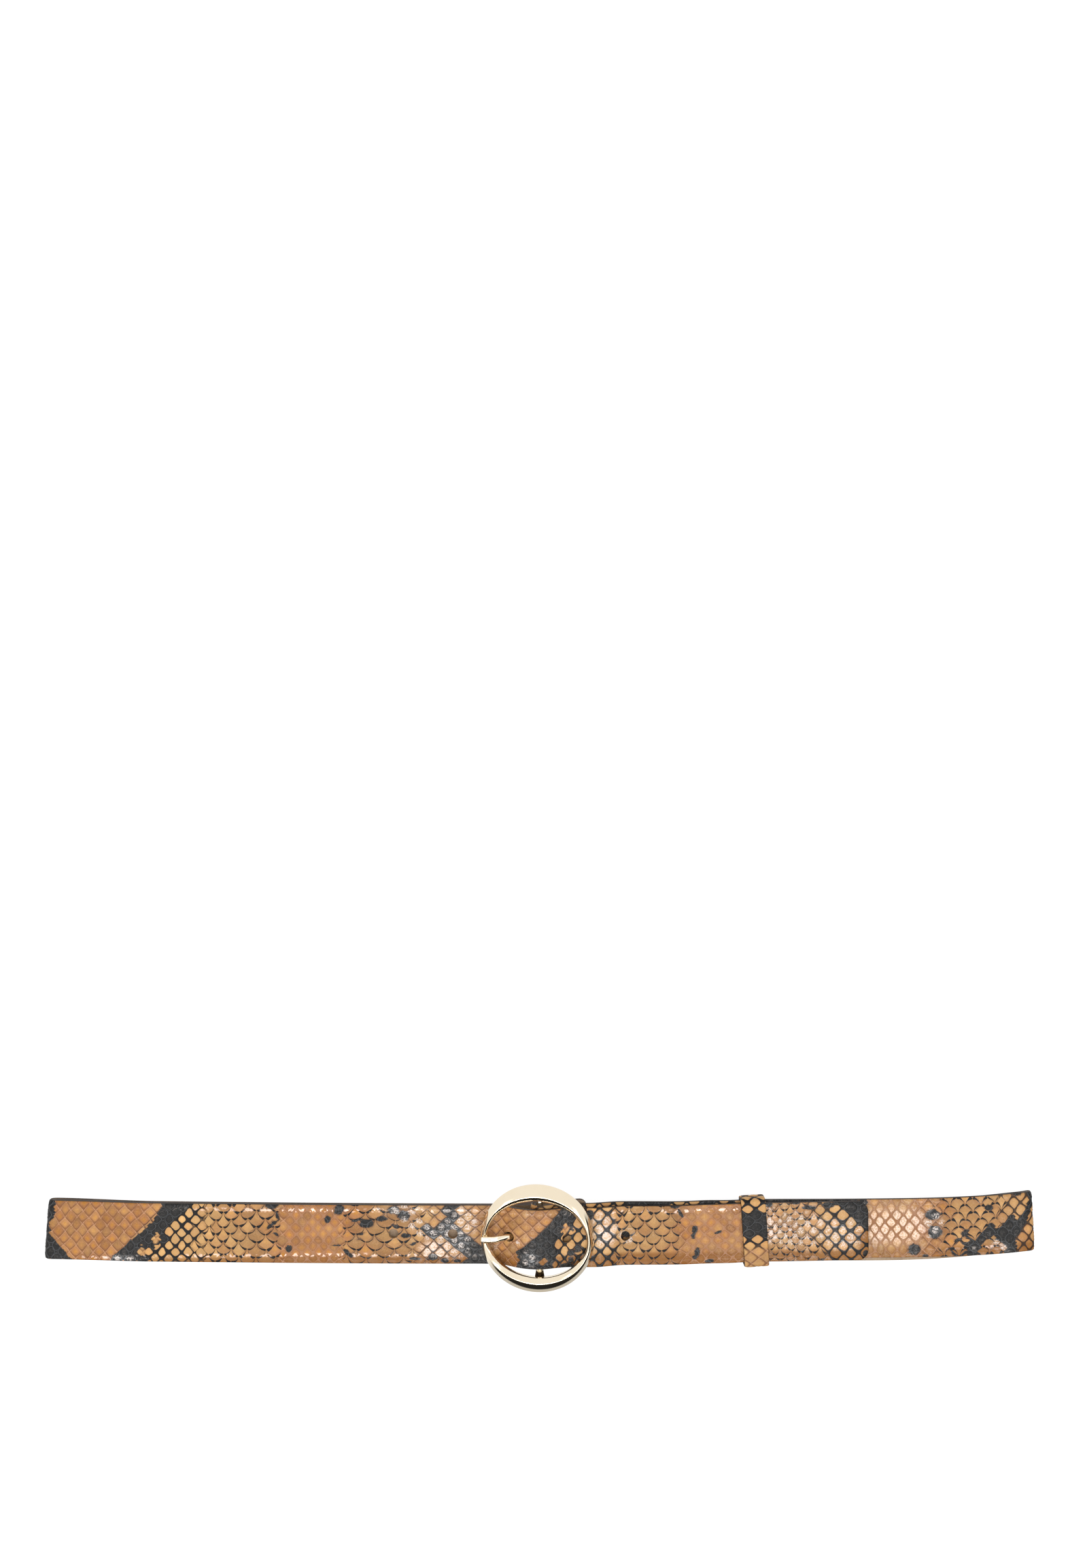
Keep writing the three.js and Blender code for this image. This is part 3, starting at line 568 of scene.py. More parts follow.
def ovals(marks, along, across, soft):
    """1 inside any of the ovals, 0 outside, over a soft edge."""
    most = np.zeros(along.shape)
    for at, y, half_length, half_width, angle in marks:
        turn = math.radians(angle)
        dx, dy = along - at, across - y
        u = (math.cos(turn) * dx + math.sin(turn) * dy) / half_length
        v = (math.cos(turn) * dy - math.sin(turn) * dx) / half_width
        most = np.maximum(most, np.clip((1 + soft - np.hypot(u, v)) / (2 * soft), 0, 1))
    return most


def stained(along, across):
    """1 inside a stain or a band, 0 outside, over a soft edge."""
    band = on_any(BLACK_BANDS, along, across) & ~on_any(TAN_IN_BLACK, along, across)
    return np.maximum(ovals(STAINS, along, across, 0.35), band)


DARK_GROOVES = 0.52  # with grooves darker than this, a scale that a band crosses is black or tan as a whole
BLACK_ABOVE, TAN_BELOW = 0.78, 0.25  # the share of any other scale in a band that decides the same
SAMPLES = (0.14, 0.38, 0.62, 0.86)  # of a scale's side


def blackness(i, j, place):
    """1 for a black scale, -1 for a tan one that a band only touches, and 0 for any other."""
    samples = [place(i + du, j + dv) for du in SAMPLES for dv in SAMPLES]
    share = np.mean([on_any(BLACK_BANDS, *at) for at in samples], axis=0)
    along, across = place(i + 0.5, j + 0.5)
    grooved = emboss_of(GROOVE)(along, across) > DARK_GROOVES
    black = on_any(PATCHES, along, across)
    tan = (share > 0) & (share < np.where(grooved, 0.5, TAN_BELOW))
    return np.select([black, tan, share > np.where(grooved, 0.5, BLACK_ABOVE)], [1.0, -1.0, 1.0], 0.0)


# %% [markdown]
# ## Cutting the leather
# A strip of leather starts as a square grid turned by 45 degrees, so that each of its squares is one
# scale. Each square is divided, so that its face can be domed between its grooves. The strip is cut to its
# outline and the holes are punched while it's flat, which is also how the real one is made. The cuts are
# bisecting planes: many short ones make a round.

# %% Tools for a flat strip
DIVISIONS = [0, 0.1, 0.27, 0.5, 0.73, 0.9, 1]  # of a scale's side, closer together by the grooves


def scale_grid(diagonals, rows):
    """Squares of a side of 1, that cover a band along the grid's diagonal, divided as above."""
    bm = bmesh.new()
    count = math.ceil(diagonals) + 2
    bmesh.ops.create_grid(bm, x_segments=count, y_segments=count, size=count / 2)
    bmesh.ops.translate(bm, verts=bm.verts, vec=(count / 2 - 1, count / 2 - 1, 0))
    middles = [(f, f.calc_center_median()) for f in bm.faces]
    spare = [f for f, c in middles if abs(c.x - c.y) > rows or not -1 < (c.x + c.y) / 2 < diagonals + 1]
    bmesh.ops.delete(bm, geom=spare, context="FACES")
    bmesh.ops.subdivide_edges(bm, edges=bm.edges, cuts=len(DIVISIONS) - 2, use_grid_fill=True)
    even = np.linspace(0, 1, len(DIVISIONS))
    lattice = bm.loops.layers.uv.new("lattice")
    for v in bm.verts:
        whole = [math.floor(c + 1e-4) for c in v.co.xy]
        v.co.xy = [w + np.interp(c - w, even, DIVISIONS) for w, c in zip(whole, v.co.xy)]
        for loop in v.link_loops:
            loop[lattice].uv = v.co.xy
    return bm


def each_once(items):
    """The items without repeats, in their order. A set has no order, and each run would differ a little."""
    return list(dict.fromkeys(items))


def edges_of(items):
    """The edges of some faces, or the edges that meet at some points."""
    each = (item.edges if hasattr(item, "edges") else item.link_edges for item in items)
    return each_once(e for edges in each for e in edges)


def cut(bm, faces, point, normal, clear=False):
    """Cuts some faces along a plane. The side that the normal points to is cleared if asked."""
    geom = [*faces, *edges_of(faces), *each_once(v for f in faces for v in f.verts)]
    plane = {"plane_co": (*point, 0), "plane_no": (*normal, 0), "clear_outer": clear, "dist": 1e-4}
    made = bmesh.ops.bisect_plane(bm, geom=geom, **plane)["geom"]
    return [g for g in made if isinstance(g, bmesh.types.BMFace)]


def trim(bm, low, high):
    """Cuts a flat strip down to a rectangle."""
    for point, normal in ((low, (0, -1)), (high, (0, 1)), (low, (-1, 0)), (high, (1, 0))):
        cut(bm, bm.faces[:], point, normal, clear=True)


def cut_beside_edges(bm, half, insets):
    """Adds lines along both long edges, for the leather to roll down between."""
    for inset in insets:
        for side in (-1, 1):
            cut(bm, bm.faces[:], (0, side * (half - inset)), (0, side))


def cut_round(bm, centre, radii, first, last, pieces, inside):
    """Cuts along an arc, and clears its inside or its outside, up to 1.5 radii away."""
    turns = np.radians(np.linspace(first, last, pieces + 1))
    ends = np.stack([centre[0] + radii[0] * np.cos(turns), centre[1] + radii[1] * np.sin(turns)], axis=1)
    sides = []
    for a, b in zip(ends, ends[1:]):
        ahead = (b - a) / np.linalg.norm(b - a)
        sides.append((a, np.array([ahead[1], -ahead[0]])))
    quadrant = np.sign(heading((first + last) / 2))

    near = []
    for f in bm.faces:
        offset = f.calc_center_median() - Vector((*centre, 0))
        in_quadrant = offset.x * quadrant[0] > 0 and offset.y * quadrant[1] > 0
        if offset.length < 1.5 * max(radii) and (inside or in_quadrant):
            near.append(f)
    for a, normal in sides:
        near = cut(bm, near, a, normal)
    spare = []
    for f in near:
        c = np.array(f.calc_center_median().xy)
        if any(float((c - a) @ normal) > 0 for a, normal in sides) != inside:
            spare.append(f)
    bmesh.ops.delete(bm, geom=spare, context="FACES")


def cut_slot(bm, low, high):
    """Cuts out a rectangle."""
    near = [f for f in bm.faces if low[0] - 2 < f.calc_center_median().x < high[0] + 2]
    for point, normal in ((low, (-1, 0)), (high, (1, 0)), (low, (0, -1)), (high, (0, 1))):
        near = cut(bm, near, point, normal)
    middles = [(f, f.calc_center_median()) for f in near]
    spare = [f for f, c in middles if low[0] < c.x < high[0] and low[1] < c.y < high[1]]
    bmesh.ops.delete(bm, geom=spare, context="FACES")


# %% [markdown]
# Five holes are punched in the tail, an inch apart, and the tongue has dragged its own a little longer.
# They are in line along the belt, and the strap lies a little to the side of that line. The fold has a
# slot that the tongue's loop moves in. The flap and the tip have round corners.

# %% Holes, slot and corners
HOLE_PITCH = 25.4
HOLE_RADIUS = 2.1
HOLE_PIECES = 24
DRAGGED = 1.3  # the tongue's hole is this much longer
PRONG_HOLE = along_at("tail", -12.5)
HOLES = []  # place along, place across, half length
for k in (-2, -1, 0, 1, 2):
    at = PRONG_HOLE + k * HOLE_PITCH
    across = -float(np.interp(at, ALONG, LINE[:, 4]))
    HOLES.append((at, across, HOLE_RADIUS * (DRAGGED if k == 0 else 1)))
SLOT_FROM = FLAP_X - 3.6
SLOT_TO = along_at("base", 3.6)
SLOT_SHIFT = -1.1
SLOT_HALF = 2.9
FLAP_CORNER = 3.0
TIP_CORNER = 4.5
CORNER_PIECES = 7
CORNERS = [
    # place along, radius, side, where the quarter circle starts
    (0, FLAP_CORNER, -1, 180),
    (0, FLAP_CORNER, 1, 90),
    (LENGTH, TIP_CORNER, -1, 270),
    (LENGTH, TIP_CORNER, 1, 0),
]


def cut_outline(bm, half):
    """Cuts a flat strip to the strap's outline, with its holes and its slot."""
    trim(bm, (0, -half), (LENGTH, half))
    for end, radius, side, first in CORNERS:
        middle = (end + radius * (1 if end == 0 else -1), side * (half - radius))
        cut_round(bm, middle, (radius, radius), first, first + 90, CORNER_PIECES, inside=False)
    for at, across, half_length in HOLES:
        cut_round(bm, (at, across), (half_length, HOLE_RADIUS), 0, 360, HOLE_PIECES, inside=True)
    cut_slot(bm, (SLOT_FROM, SLOT_SHIFT - SLOT_HALF), (SLOT_TO, SLOT_SHIFT + SLOT_HALF))
    bmesh.ops.remove_doubles(bm, verts=bm.verts, dist=0.02)


def edge_distance(along, across):
    """How far in from the strap's outline a point is."""
    from_side = STRAP_HALF - np.abs(across)
    from_end = np.minimum(along, LENGTH - along)
    radius = np.where(along < LENGTH / 2, FLAP_CORNER, TIP_CORNER)
    corner = radius - np.hypot(np.maximum(radius - from_side, 0), np.maximum(radius - from_end, 0))
    both = (from_side < radius) & (from_end < radius)
    return np.maximum(0, np.where(both, corner, np.minimum(from_side, from_end)))


# %% [markdown]
# ## The relief
# Each scale is a low dome with round corners, or a tile that lies over the next row where the table gives
# it a lip. Near the strap's edges the leather thins and rolls down to the painted edge.

# %% Relief of the scales
EDGE_ROLL = [
    # how far in from the edge, and the height there
    (0, 0.5), (0.12, 0.68), (0.35, 0.85), (1, 1), (1.7, 1.13), (2.15, 1.21), (2.6, 1.25), (30, 1.25),
]
RELIEF_DEPTH = 0.26


def relief(u, v, depth, groove, lip):
    """Height of the scales in mm, from 0 at their highest."""
    p, q = 2 * (u - np.floor(u)) - 1, 2 * (v - np.floor(v)) - 1
    side = np.sign(lip)
    a, b = (p + q) / 2, (q - p) / 2 * side
    over = np.minimum(np.hypot(a - 1, b + 1), np.hypot(a + 1, b + 1)) - 1  # below 0 on the row above
    tile = smooth_step(-over / 0.3 + 0.3) + smooth_step(over / 1.2)
    r = (np.abs(p) ** 3.5 + np.abs(q) ** 3.5) ** (1 / 3.5) + b * (0.06 + 0.2 * groove)
    dome = 1 - np.maximum(smooth_step((r - 0.72) / 0.26), 0.3 * np.minimum(r, 1) ** 2)
    tiled = smooth_step((np.abs(lip) - groove - 0.15) / 0.35)
    return -depth * (1 - (tiled * np.clip(tile, 0, 1) * 0.8 + (1 - tiled) * dome))


def random_of(i, j, seed):
    """An even spread of numbers from 0 to 1, one for each scale."""
    return np.modf(np.abs(np.sin(i * 12.9898 + j * 78.233 + seed * 37.719) * 43758.5453))[0]


# %% [markdown]
# ## The embossed strap
# The grid is stretched so that its squares have the size that the table gives. It's cut, an extrusion
# gives it a thickness, and its face gets its relief. Under the straight stretches the back of the leather
# needs no fine faces, so they are dissolved there. Last, the line bends it round.

# %% Flat strip of scales
FINE = np.linspace(-20, LENGTH + 20, 4000)
DIAGONALS = np.concatenate([[0], np.cumsum(np.diff(FINE) / emboss_at(FINE[1:], SCALE_LENGTH))])
NARROWEST = 4.9  # the narrowest row of scales that the strap is covered with
BESIDE_EDGES = (0.12, 0.35, 1.0, 2.5)


def drift(along, across):
    """No two scales of a snake are quite alike, so the pattern wanders a little."""
    x = np.sin(along * 0.31 + across * 0.23) + np.sin(along * 0.83 - across * 0.61 + 2)
    y = np.sin(along * 0.37 - across * 0.19 + 1) + np.sin(across * 0.71 + along * 0.57)
    return 0.18 * x, 0.18 * y


def spread_scales(u, v):
    """From the grid's own places to millimetres on the leather."""
    along = np.interp((u + v) / 2, DIAGONALS, FINE)
    across = (u - v) / 2 * emboss_at(along, SCALE_WIDTH)
    aside = drift(along, across)
    return along + aside[0], across + aside[1]


def move_points(bm, place):
    """Moves the points of a flat grid to where a function of their x and y puts them."""
    x, y, _ = np.array([v.co[:] for v in bm.verts]).T
    for v, (along, across) in zip(bm.verts, zip(*place(x, y))):
        v.co = (along, across, 0)


strap_bm = scale_grid(DIAGONALS[-1], 25.2 / NARROWEST + 1.5)
move_points(strap_bm, spread_scales)
cut_beside_edges(strap_bm, STRAP_HALF, BESIDE_EDGES)
cut_outline(strap_bm, STRAP_HALF)
print("flat strip:", len(strap_bm.faces), "faces")


# %% Thickness
def thicken(bm, low):
    """Gives a flat strip a back at a height. Returns the points of its front."""
    made = bmesh.ops.extrude_face_region(bm, geom=bm.faces[:])["geom"]
    front = each_once(v for g in made if isinstance(g, bmesh.types.BMFace) for v in g.verts)
    for v in bm.verts:
        v.co.z = low
    for v in front:
        v.co.z = 1
    bmesh.ops.recalc_face_normals(bm, faces=bm.faces)
    return front


def emboss_face(bm, front, height_at):
    """Gives a front its heights, from where its points lie on the strip and on their scales."""
    lattice = bm.loops.layers.uv["lattice"]
    flat = np.array([v.co[:] for v in front])
    uv = np.array([v.link_loops[0][lattice].uv[:] for v in front])
    for v, z in zip(front, height_at(flat[:, 0], flat[:, 1], uv[:, 0], uv[:, 1])):
        v.co.z = z


def strap_height(along, across, u, v):
    inward = edge_distance(along, across)
    place = slanted(along, across)
    depth = RELIEF_DEPTH * emboss_at(place, RELIEF) * smooth_step((inward - 0.15) / 0.5)
    roll = np.interp(inward, *zip(*EDGE_ROLL))
    return roll + relief(u, v, depth, emboss_at(place, GROOVE), emboss_at(place, LIP))


OUTER_BACK = 0.05
BACK_INSET = 0.1
emboss_face(strap_bm, thicken(strap_bm, OUTER_BACK), strap_height)

# %% A simpler back
lattice = strap_bm.loops.layers.uv["lattice"]
bend_near = np.convolve(TURNING, np.ones(25), "same") > 0.12


def cell_of(f):
    uv = sum((loop[lattice].uv for loop in f.loops), Vector((0, 0))) / len(f.loops)
    return math.floor(uv.x), math.floor(uv.y)


def straight_at(along):
    return not bend_near[min(int(np.searchsorted(ALONG, along)), len(ALONG) - 1)]


back = [f for f in strap_bm.faces if all(abs(v.co.z - OUTER_BACK) < 1e-6 for v in f.verts)]
cells = {f: cell_of(f) for f in back if straight_at(f.calc_center_median().x)}
paired = [e for e in edges_of(cells) if len(e.link_faces) == 2]
inner = [e for e in paired if len({cells.get(f) for f in e.link_faces}) == 1]
bmesh.ops.dissolve_edges(strap_bm, edges=inner, use_verts=True)
for v in strap_bm.verts:
    if v.co.z < OUTER_BACK + 1e-6:
        v.co.y *= (STRAP_HALF - BACK_INSET) / STRAP_HALF
print("solid strip:", len(strap_bm.faces), "faces")


# %% From the flat strip to the belt
def add_mesh(name, bm, materials):
    """A new object. Its edges and faces are sorted, because an extrusion's walls come in any order."""
    bm.verts.index_update()
    for parts in (bm.edges, bm.faces):
        parts.sort(key=lambda part: sum((v.index + 1) ** 3 for v in part.verts))
    mesh = bpy.data.meshes.new(name)
    bm.to_mesh(mesh)
    bm.free()
    for material in materials:
        mesh.materials.append(material)
    return add_object(name, mesh)


def make_piece(name, bm, replaces, materials):
    piece = add_mesh(name, bm, materials)
    mesh = piece.data
    mesh.polygons.foreach_set("use_smooth", [True] * len(mesh.polygons))
    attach(piece, "root")
    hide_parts(*replaces)
    triangles = sum(len(p.vertices) - 2 for p in mesh.polygons)
    print(f"{name}: {triangles} triangles")
    return mesh


def array_of(collection, key, width):
    values = np.zeros(len(collection) * width, np.float32)
    collection.foreach_get(key, values)
    return values.reshape(-1, width) if width > 1 else values


def write_attribute(mesh, name, columns, domain="POINT"):
    """Up to four numbers for each point or face."""
    count = len(mesh.vertices if domain == "POINT" else mesh.polygons)
    values = np.tile(np.float32([0, 0, 0, 1]), (count, 1))
    for k, column in enumerate(columns):
        values[:, k] = column
    mesh.attributes.new(name, "FLOAT_COLOR", domain).data.foreach_set("color", values.ravel())


def scale_tones(mesh, place, black_at, ochre_at, gloss_at):
    """One shade for each scale: black, light, ochre and gloss."""
    uv = array_of(mesh.uv_layers["lattice"].uv, "vector", 2)
    starts = array_of(mesh.polygons, "loop_start", 1).astype(int)
    totals = array_of(mesh.polygons, "loop_total", 1).astype(int)
    middles = np.add.reduceat(uv, starts, axis=0) / totals[:, None]
    i, j = np.floor(middles[:, 0]), np.floor(middles[:, 1])
    along, across = place(i + 0.5, j + 0.5)
    ochre = np.clip(ochre_at(along, across) + 0.5 * (random_of(i, j, 1) - 0.5), 0, 1)
    gloss = np.clip(gloss_at(along, across) * (0.5 + random_of(i, j, 2)), 0, 1)
    write_attribute(mesh, "tone", [black_at(i, j, place), random_of(i, j, 3), ochre, gloss], "FACE")


def flat_kinds(mesh):
    """0 for the face, 1 for a painted edge, 2 for the cut leather of the back."""
    up = array_of(mesh.polygons, "normal", 3)[:, 2]
    return np.select([up > 0.3, up < -0.9], [0, 2], 1)


def strap_kinds(mesh):
    """The same, and 2 in the holes and the slot as well."""
    kinds = flat_kinds(mesh)
    middles = array_of(mesh.polygons, "center", 3)
    along, across = middles[:, 0], middles[:, 1]
    for at, aside, half_length in HOLES:
        kinds[(np.hypot(along - at, across - aside) < half_length + 0.2) & (kinds > 0)] = 2
    kinds[(along > 5) & (along < SLOT_TO + 1) & (np.abs(across) < 6) & (kinds == 1)] = 2
    return kinds


def bend(mesh, kinds, lay, sharp):
    """Gives a flat piece its materials, and bends it into its place."""
    mesh.polygons.foreach_set("material_index", kinds)
    laid = lay(*array_of(mesh.vertices, "co", 3).T)
    mesh.vertices.foreach_set("co", laid.astype(np.float32).ravel())
    mesh.set_sharp_from_angle(angle=math.radians(sharp))
    mesh.update()


# %% [markdown]
# ## Leather finishes
# The face is printed and then polished. A scale takes one colour, from light tan to ochre, and a few are
# black. The grooves are pinkish tan, or black where the dye has run into them, and a scale that lies over
# the next has a dark line under its lip. Painted shade makes each scale browner on its lower side, with its
# groove line darker there, and it darkens the strap's lower edge. Painted highlights put pale glints on the
# crowns of glazed scales, along the creases beside the edges and in part round the black scales, and pale
# rings in the glare patches. The pattern is worked out from where a point lies on its scale, so the colour
# and the relief agree.


# %% Embossed leather
def embossed_leather():
    f = new_finish("embossed_leather")
    lattice = f.node("ShaderNodeUVMap", {"uv_map": "lattice"})
    wobble = f.noise(420, 2)
    black, light, ochre, gloss = f.attribute("tone")
    groove, lip, depth, inward = f.attribute("ground")
    # Marks: stains, the painted glare patches, the glazed places and the tan diamonds in black bands.
    stain, pale, glazed, whole = f.attribute("marks")
    crease, low_edge_shade, _, _ = f.attribute("edges")
    u, v = f.parts(lattice, 2)
    p = u.fraction() * 2 - 1 + (wobble - 0.5) * -0.26
    q = v.fraction() * 2 - 1 + (wobble - 0.5) * 0.26
    facing = (lip * 50).at_least(-1).at_most(1)
    a, b = (p + q) * 0.5, (q - p) * 0.5 * facing
    r = (p.size() ** 3.5 + q.size() ** 3.5) ** (1 / 3.5)
    # The b term draws each scale's groove line thicker on its lower side, as painted shade.
    r = r + b * (groove * 0.2 + 0.06) + (light - 0.5) * (groove * 0.14 + 0.08)
    right = ((a - 1) * (a - 1) + (b + 1) * (b + 1)) ** 0.5
    left = ((a + 1) * (a + 1) + (b + 1) * (b + 1)) ** 0.5
    over = right.at_most(left) - 1
    tiled = (lip.size() - groove + (light - 0.5) * 0.24).step(0.27, 0.36)
    gap = groove * 0.17 + pale * 0.03
    between = r.step(0.88 - gap, 0.95 - gap * 0.8) * (1 - tiled) * (1 - whole)
    thick = (a.size() - 0.14) * (0.36 + groove * 0.55 + (light + wobble - 1) * 0.4)
    under_lip = (over + 0.08).step(-0.05, 0.03) * (1 - (over + 0.08 - thick).step(0, 0.06))
    under_lip = under_lip * tiled * (1 - whole)
    # Painted shade: each scale is browner on its lower side, and a tile is browner towards its lip.
    shaded_low_side = r.step(0.6, 0.85) * b.step(-0.2, 0.3) * (1 - tiled)
    shaded_low_side = shaded_low_side.at_least(over.step(-0.45, -0.05) * (1 - over.step(-0.02, 0.02)) * tiled * 0.7)

    mottle = f.noise(1500, 3, 0.6)
    cloud = f.noise(160, 2)
    rim = f.blend(ochre, colour(208, 162, 104), colour(188, 127, 77))
    middle = f.blend(ochre, colour(222, 178, 114), colour(206, 138, 46))
    core = (1 - r.step(0.15, 0.7)) * (ochre * 0.5 + 0.3 + (light - 0.5) * 0.5)
    shade = 0.5 + groove * 0.17 - tiled * 0.03
    shade = shade + (mottle - 0.5) * 0.3 + (cloud - 0.5) * 0.25 + (light - 0.5) * 0.18
    skin = f.brighten(f.blend(core, rim, middle), shade)
    # Painted highlight: pale rings in the middle of the scales in the glare patches.
    glare_rings = pale * (1 - r.step(0.68, 0.86)) * (mottle * 4 - 1.4).at_least(0.25).at_most(0.8)
    skin = f.blend(glare_rings, skin, colour(226, 198, 180))
    # The painted shade on the lower side of each scale.
    skin = f.blend(shaded_low_side * 0.55, skin, colour(98, 60, 34))
    # The painted shade on the bevel along the lower edge.
    skin = f.blend(low_edge_shade * 0.8, skin, colour(110, 66, 14))
    # Painted shade: a groove line is darker on the lower side of each scale than on its upper side.
    shaded_line = f.blend(pale, colour(116, 76, 48), colour(132, 90, 58))
    line = f.blend(b.step(-0.15, 0.15).at_least(pale), colour(164, 124, 94), shaded_line)
    dark = colour(12, 10, 11)
    inked = (groove + b.step(-0.2, 0.2) * lip.size() * 0.45).step(0.05, 0.42)
    lined = between * (0.65 + groove * 0.5 + pale * 0.3).at_most(1)
    skin = f.blend(lined, skin, f.blend(inked, line, dark))
    skin = f.blend(under_lip, skin, dark)
    # Painted highlight: short pale glints along the creases beside the edges.
    dash = f.noise(560, 1).step(0.47, 0.54) * mottle.step(0.3, 0.45) * (1 - r.step(0.62, 0.88))
    skin = f.blend((crease * crease * dash * 1.2).at_most(0.85), skin, colour(226, 192, 172))
    # Black scales, each with a grey line round it that is partly the print's groove and partly a painted
    # glint.
    black_with_rim_glint = f.blend(mottle.step(0.35, 0.75), colour(17, 16, 16), colour(35, 34, 33))
    black_with_rim_glint = f.blend(r.step(0.86, 0.92) * (1 - r.step(0.96, 1.0)) * 0.75, black_with_rim_glint, colour(70, 71, 73))
    spread = stain + (mottle - 0.5) * 0.9 + (wobble - 0.5) * 0.8 - r.step(0.8, 1.0) * 0.1
    halo = spread.step(0.1, 0.5) * (1 + black).at_least(0).at_most(1) * 0.6
    skin = f.blend(halo, skin, colour(84, 54, 36))
    blackened = (spread.step(0.42, 0.6) + black - whole * 2).at_least(0).at_most(1)
    skin = f.blend(blackened, skin, black_with_rim_glint)
    # Painted highlight: a pale glint on the crowns of glazed and glossy scales, and on the creases of black
    # ones.
    crown = (1 - (a * a + (b + 0.25) * (b + 0.25)) * 3).at_least(0)
    painted_glint = crown * (glazed * 1.05 + gloss * 0.2) * mottle.step(0.42, 0.58)
    painted_glint = painted_glint + crease * dash * 0.5 * black.at_least(0)
    skin = f.blend(painted_glint.at_most(0.7), skin, colour(196, 184, 176))
    skin = f.blend(1 - inward.step(0.0, 0.05), skin, colour(24, 17, 14))

    shine = (gloss * 0.4 + glazed * 0.6 + crease * dash * 0.7).at_most(1)
    steps = (1 - between * 0.9) * (1 - tiled) + tiled * over.step(-0.02, 0.04) * -0.9
    height = depth * 0.1 * steps + mottle * (0.015 + glazed * 0.09) + f.noise(3200, 2) * 0.005
    roughness = 0.52 - shine * 0.15 + (mottle - 0.5) * 0.2
    finish = {"Specular_IOR_Level": 0.16, "Coat_Roughness": 0.13, "Coat_Weight": shine}
    return f.surface(Base_Color=skin, Roughness=roughness, Normal=f.bump(height), **finish)


def plain_leather(name, low, high, scale, rough, depth):
    f = new_finish(name)
    grain = f.noise(scale, 4, 0.65)
    cloud = f.noise(scale / 12, 2)
    skin = f.blend((grain * 0.6 + cloud * 0.4).step(0.35, 0.65), low, high)
    roughness = rough + (grain - 0.5) * 0.15
    bump = f.bump(grain * depth)
    return f.surface(Base_Color=skin, Roughness=roughness, Normal=bump, Specular_IOR_Level=0.2)


LEATHER = embossed_leather()
EDGE_PAINT = plain_leather("edge_paint", colour(20, 14, 12), colour(38, 27, 23), 900, 0.5, 0.03)
RAW_LEATHER = plain_leather("raw_leather", colour(120, 92, 64), colour(168, 136, 100), 1800, 0.85, 0.08)
LINING = plain_leather("lining_leather", colour(128, 108, 88), colour(150, 130, 108), 1400, 0.6, 0.05)
EMBOSSED, PLAIN = ([face, EDGE_PAINT, RAW_LEATHER] for face in (LEATHER, LINING))

# %% The strap is bent into the loop
mesh = make_piece("embossed_strap", strap_bm, ["strap_outer"], EMBOSSED)
scale_tones(mesh, spread_scales, blackness, emboss_of(OCHRE), emboss_of(GLOSS))
at = array_of(mesh.vertices, "co", 3)[:, :2].T
inward = edge_distance(*at)
ground = [emboss_of(column)(*at) for column in (GROOVE, LIP, RELIEF)]
write_attribute(mesh, "ground", [*ground, np.clip(inward / 3, 0, 1)])
marks = [stained(*at), ovals(GLARE_PATCHES, *at, 0.3), ovals(GLAZED, *at, 0.3), on_any(TAN_IN_BLACK, *at)]
write_attribute(mesh, "marks", marks)
write_attribute(mesh, "edges", crease_glint_and_edge_shade(*at, inward))
bend(mesh, strap_kinds(mesh), lay_strap, 50)

# %% [markdown]
# ## The lining
# A plain taupe leather backs the strap. It shows through the holes and behind the buckle. It needs no
# scales, so a coarse grid is enough, with its columns closer together where the strap bends.

# %% Lining
LINING_INSET = 0.15
LINING_FRONT = -0.25
LINING_WIDE = 26  # before it's cut
CROWDING = np.cumsum(np.gradient(ALONG) / 3 + TURNING / 0.16)


def spread_lining(x, y):
    along = np.interp((x + 0.5) * CROWDING[-1], CROWDING, ALONG)
    along[x < -0.4999] = -1
    along[x > 0.4999] = LENGTH + 1
    return along, y * LINING_WIDE


lining_bm = bmesh.new()
bmesh.ops.create_grid(lining_bm, x_segments=int(CROWDING[-1]), y_segments=10, size=0.5)
move_points(lining_bm, spread_lining)
cut_outline(lining_bm, STRAP_HALF - LINING_INSET)
for v in thicken(lining_bm, -HALF_THICK):
    v.co.z = LINING_FRONT
mesh = make_piece("strap_backing", lining_bm, ["strap_lining"], PLAIN)
kinds = strap_kinds(mesh)
kinds[array_of(mesh.polygons, "normal", 3)[:, 2] < -0.9] = 0
bend(mesh, kinds, lay_strap, 40)

# %% [markdown]
# ## The keeper
# The keeper is a narrow strip of the same leather, closed into a loop round the base and the tail. It's
# made as the strap is: a flat strip of scales with a thickness, bent round an oblong.

# %% Keeper
KEEPER_HALF_WIDE = 5.2
KEEPER_HALF_THICK = 0.65
KEEPER_INSIDE = (13.4, 3.025)  # half its opening, across the strap and upwards
KEEPER_MIDDLE = [half + KEEPER_HALF_THICK for half in KEEPER_INSIDE]
KEEPER_CORNER = 1.65
KEEPER_SCALES = (4.2 * 1.22, 4.2 * 1.62)  # round the loop, and along the belt
KEEPER_END = 0.03  # half the seam at its back
KEEPER_TURN = 3.4
KEEPER_ASIDE = 0.35
KEEPER_ROLL = [(0, 0.2), (0.15, 0.38), (0.5, 0.55), (1.1, 0.63), (3, KEEPER_HALF_THICK)]


def keeper_path():
    """Points round the oblong, seen along the belt, from the middle of its back."""
    half_y, half_z = KEEPER_MIDDLE
    corners = [(half_y, -half_z, -90), (half_y, half_z, 0), (-half_y, half_z, 90), (-half_y, -half_z, 180)]
    points = [(0.0, -half_z)]
    for y, z, first in corners:
        middle = np.array([c - math.copysign(KEEPER_CORNER, c) for c in (y, z)])
        points += [middle + KEEPER_CORNER * heading(turn) for turn in np.linspace(first, first + 90, 9)]
    points.append((0.0, -half_z))
    return np.array(points)


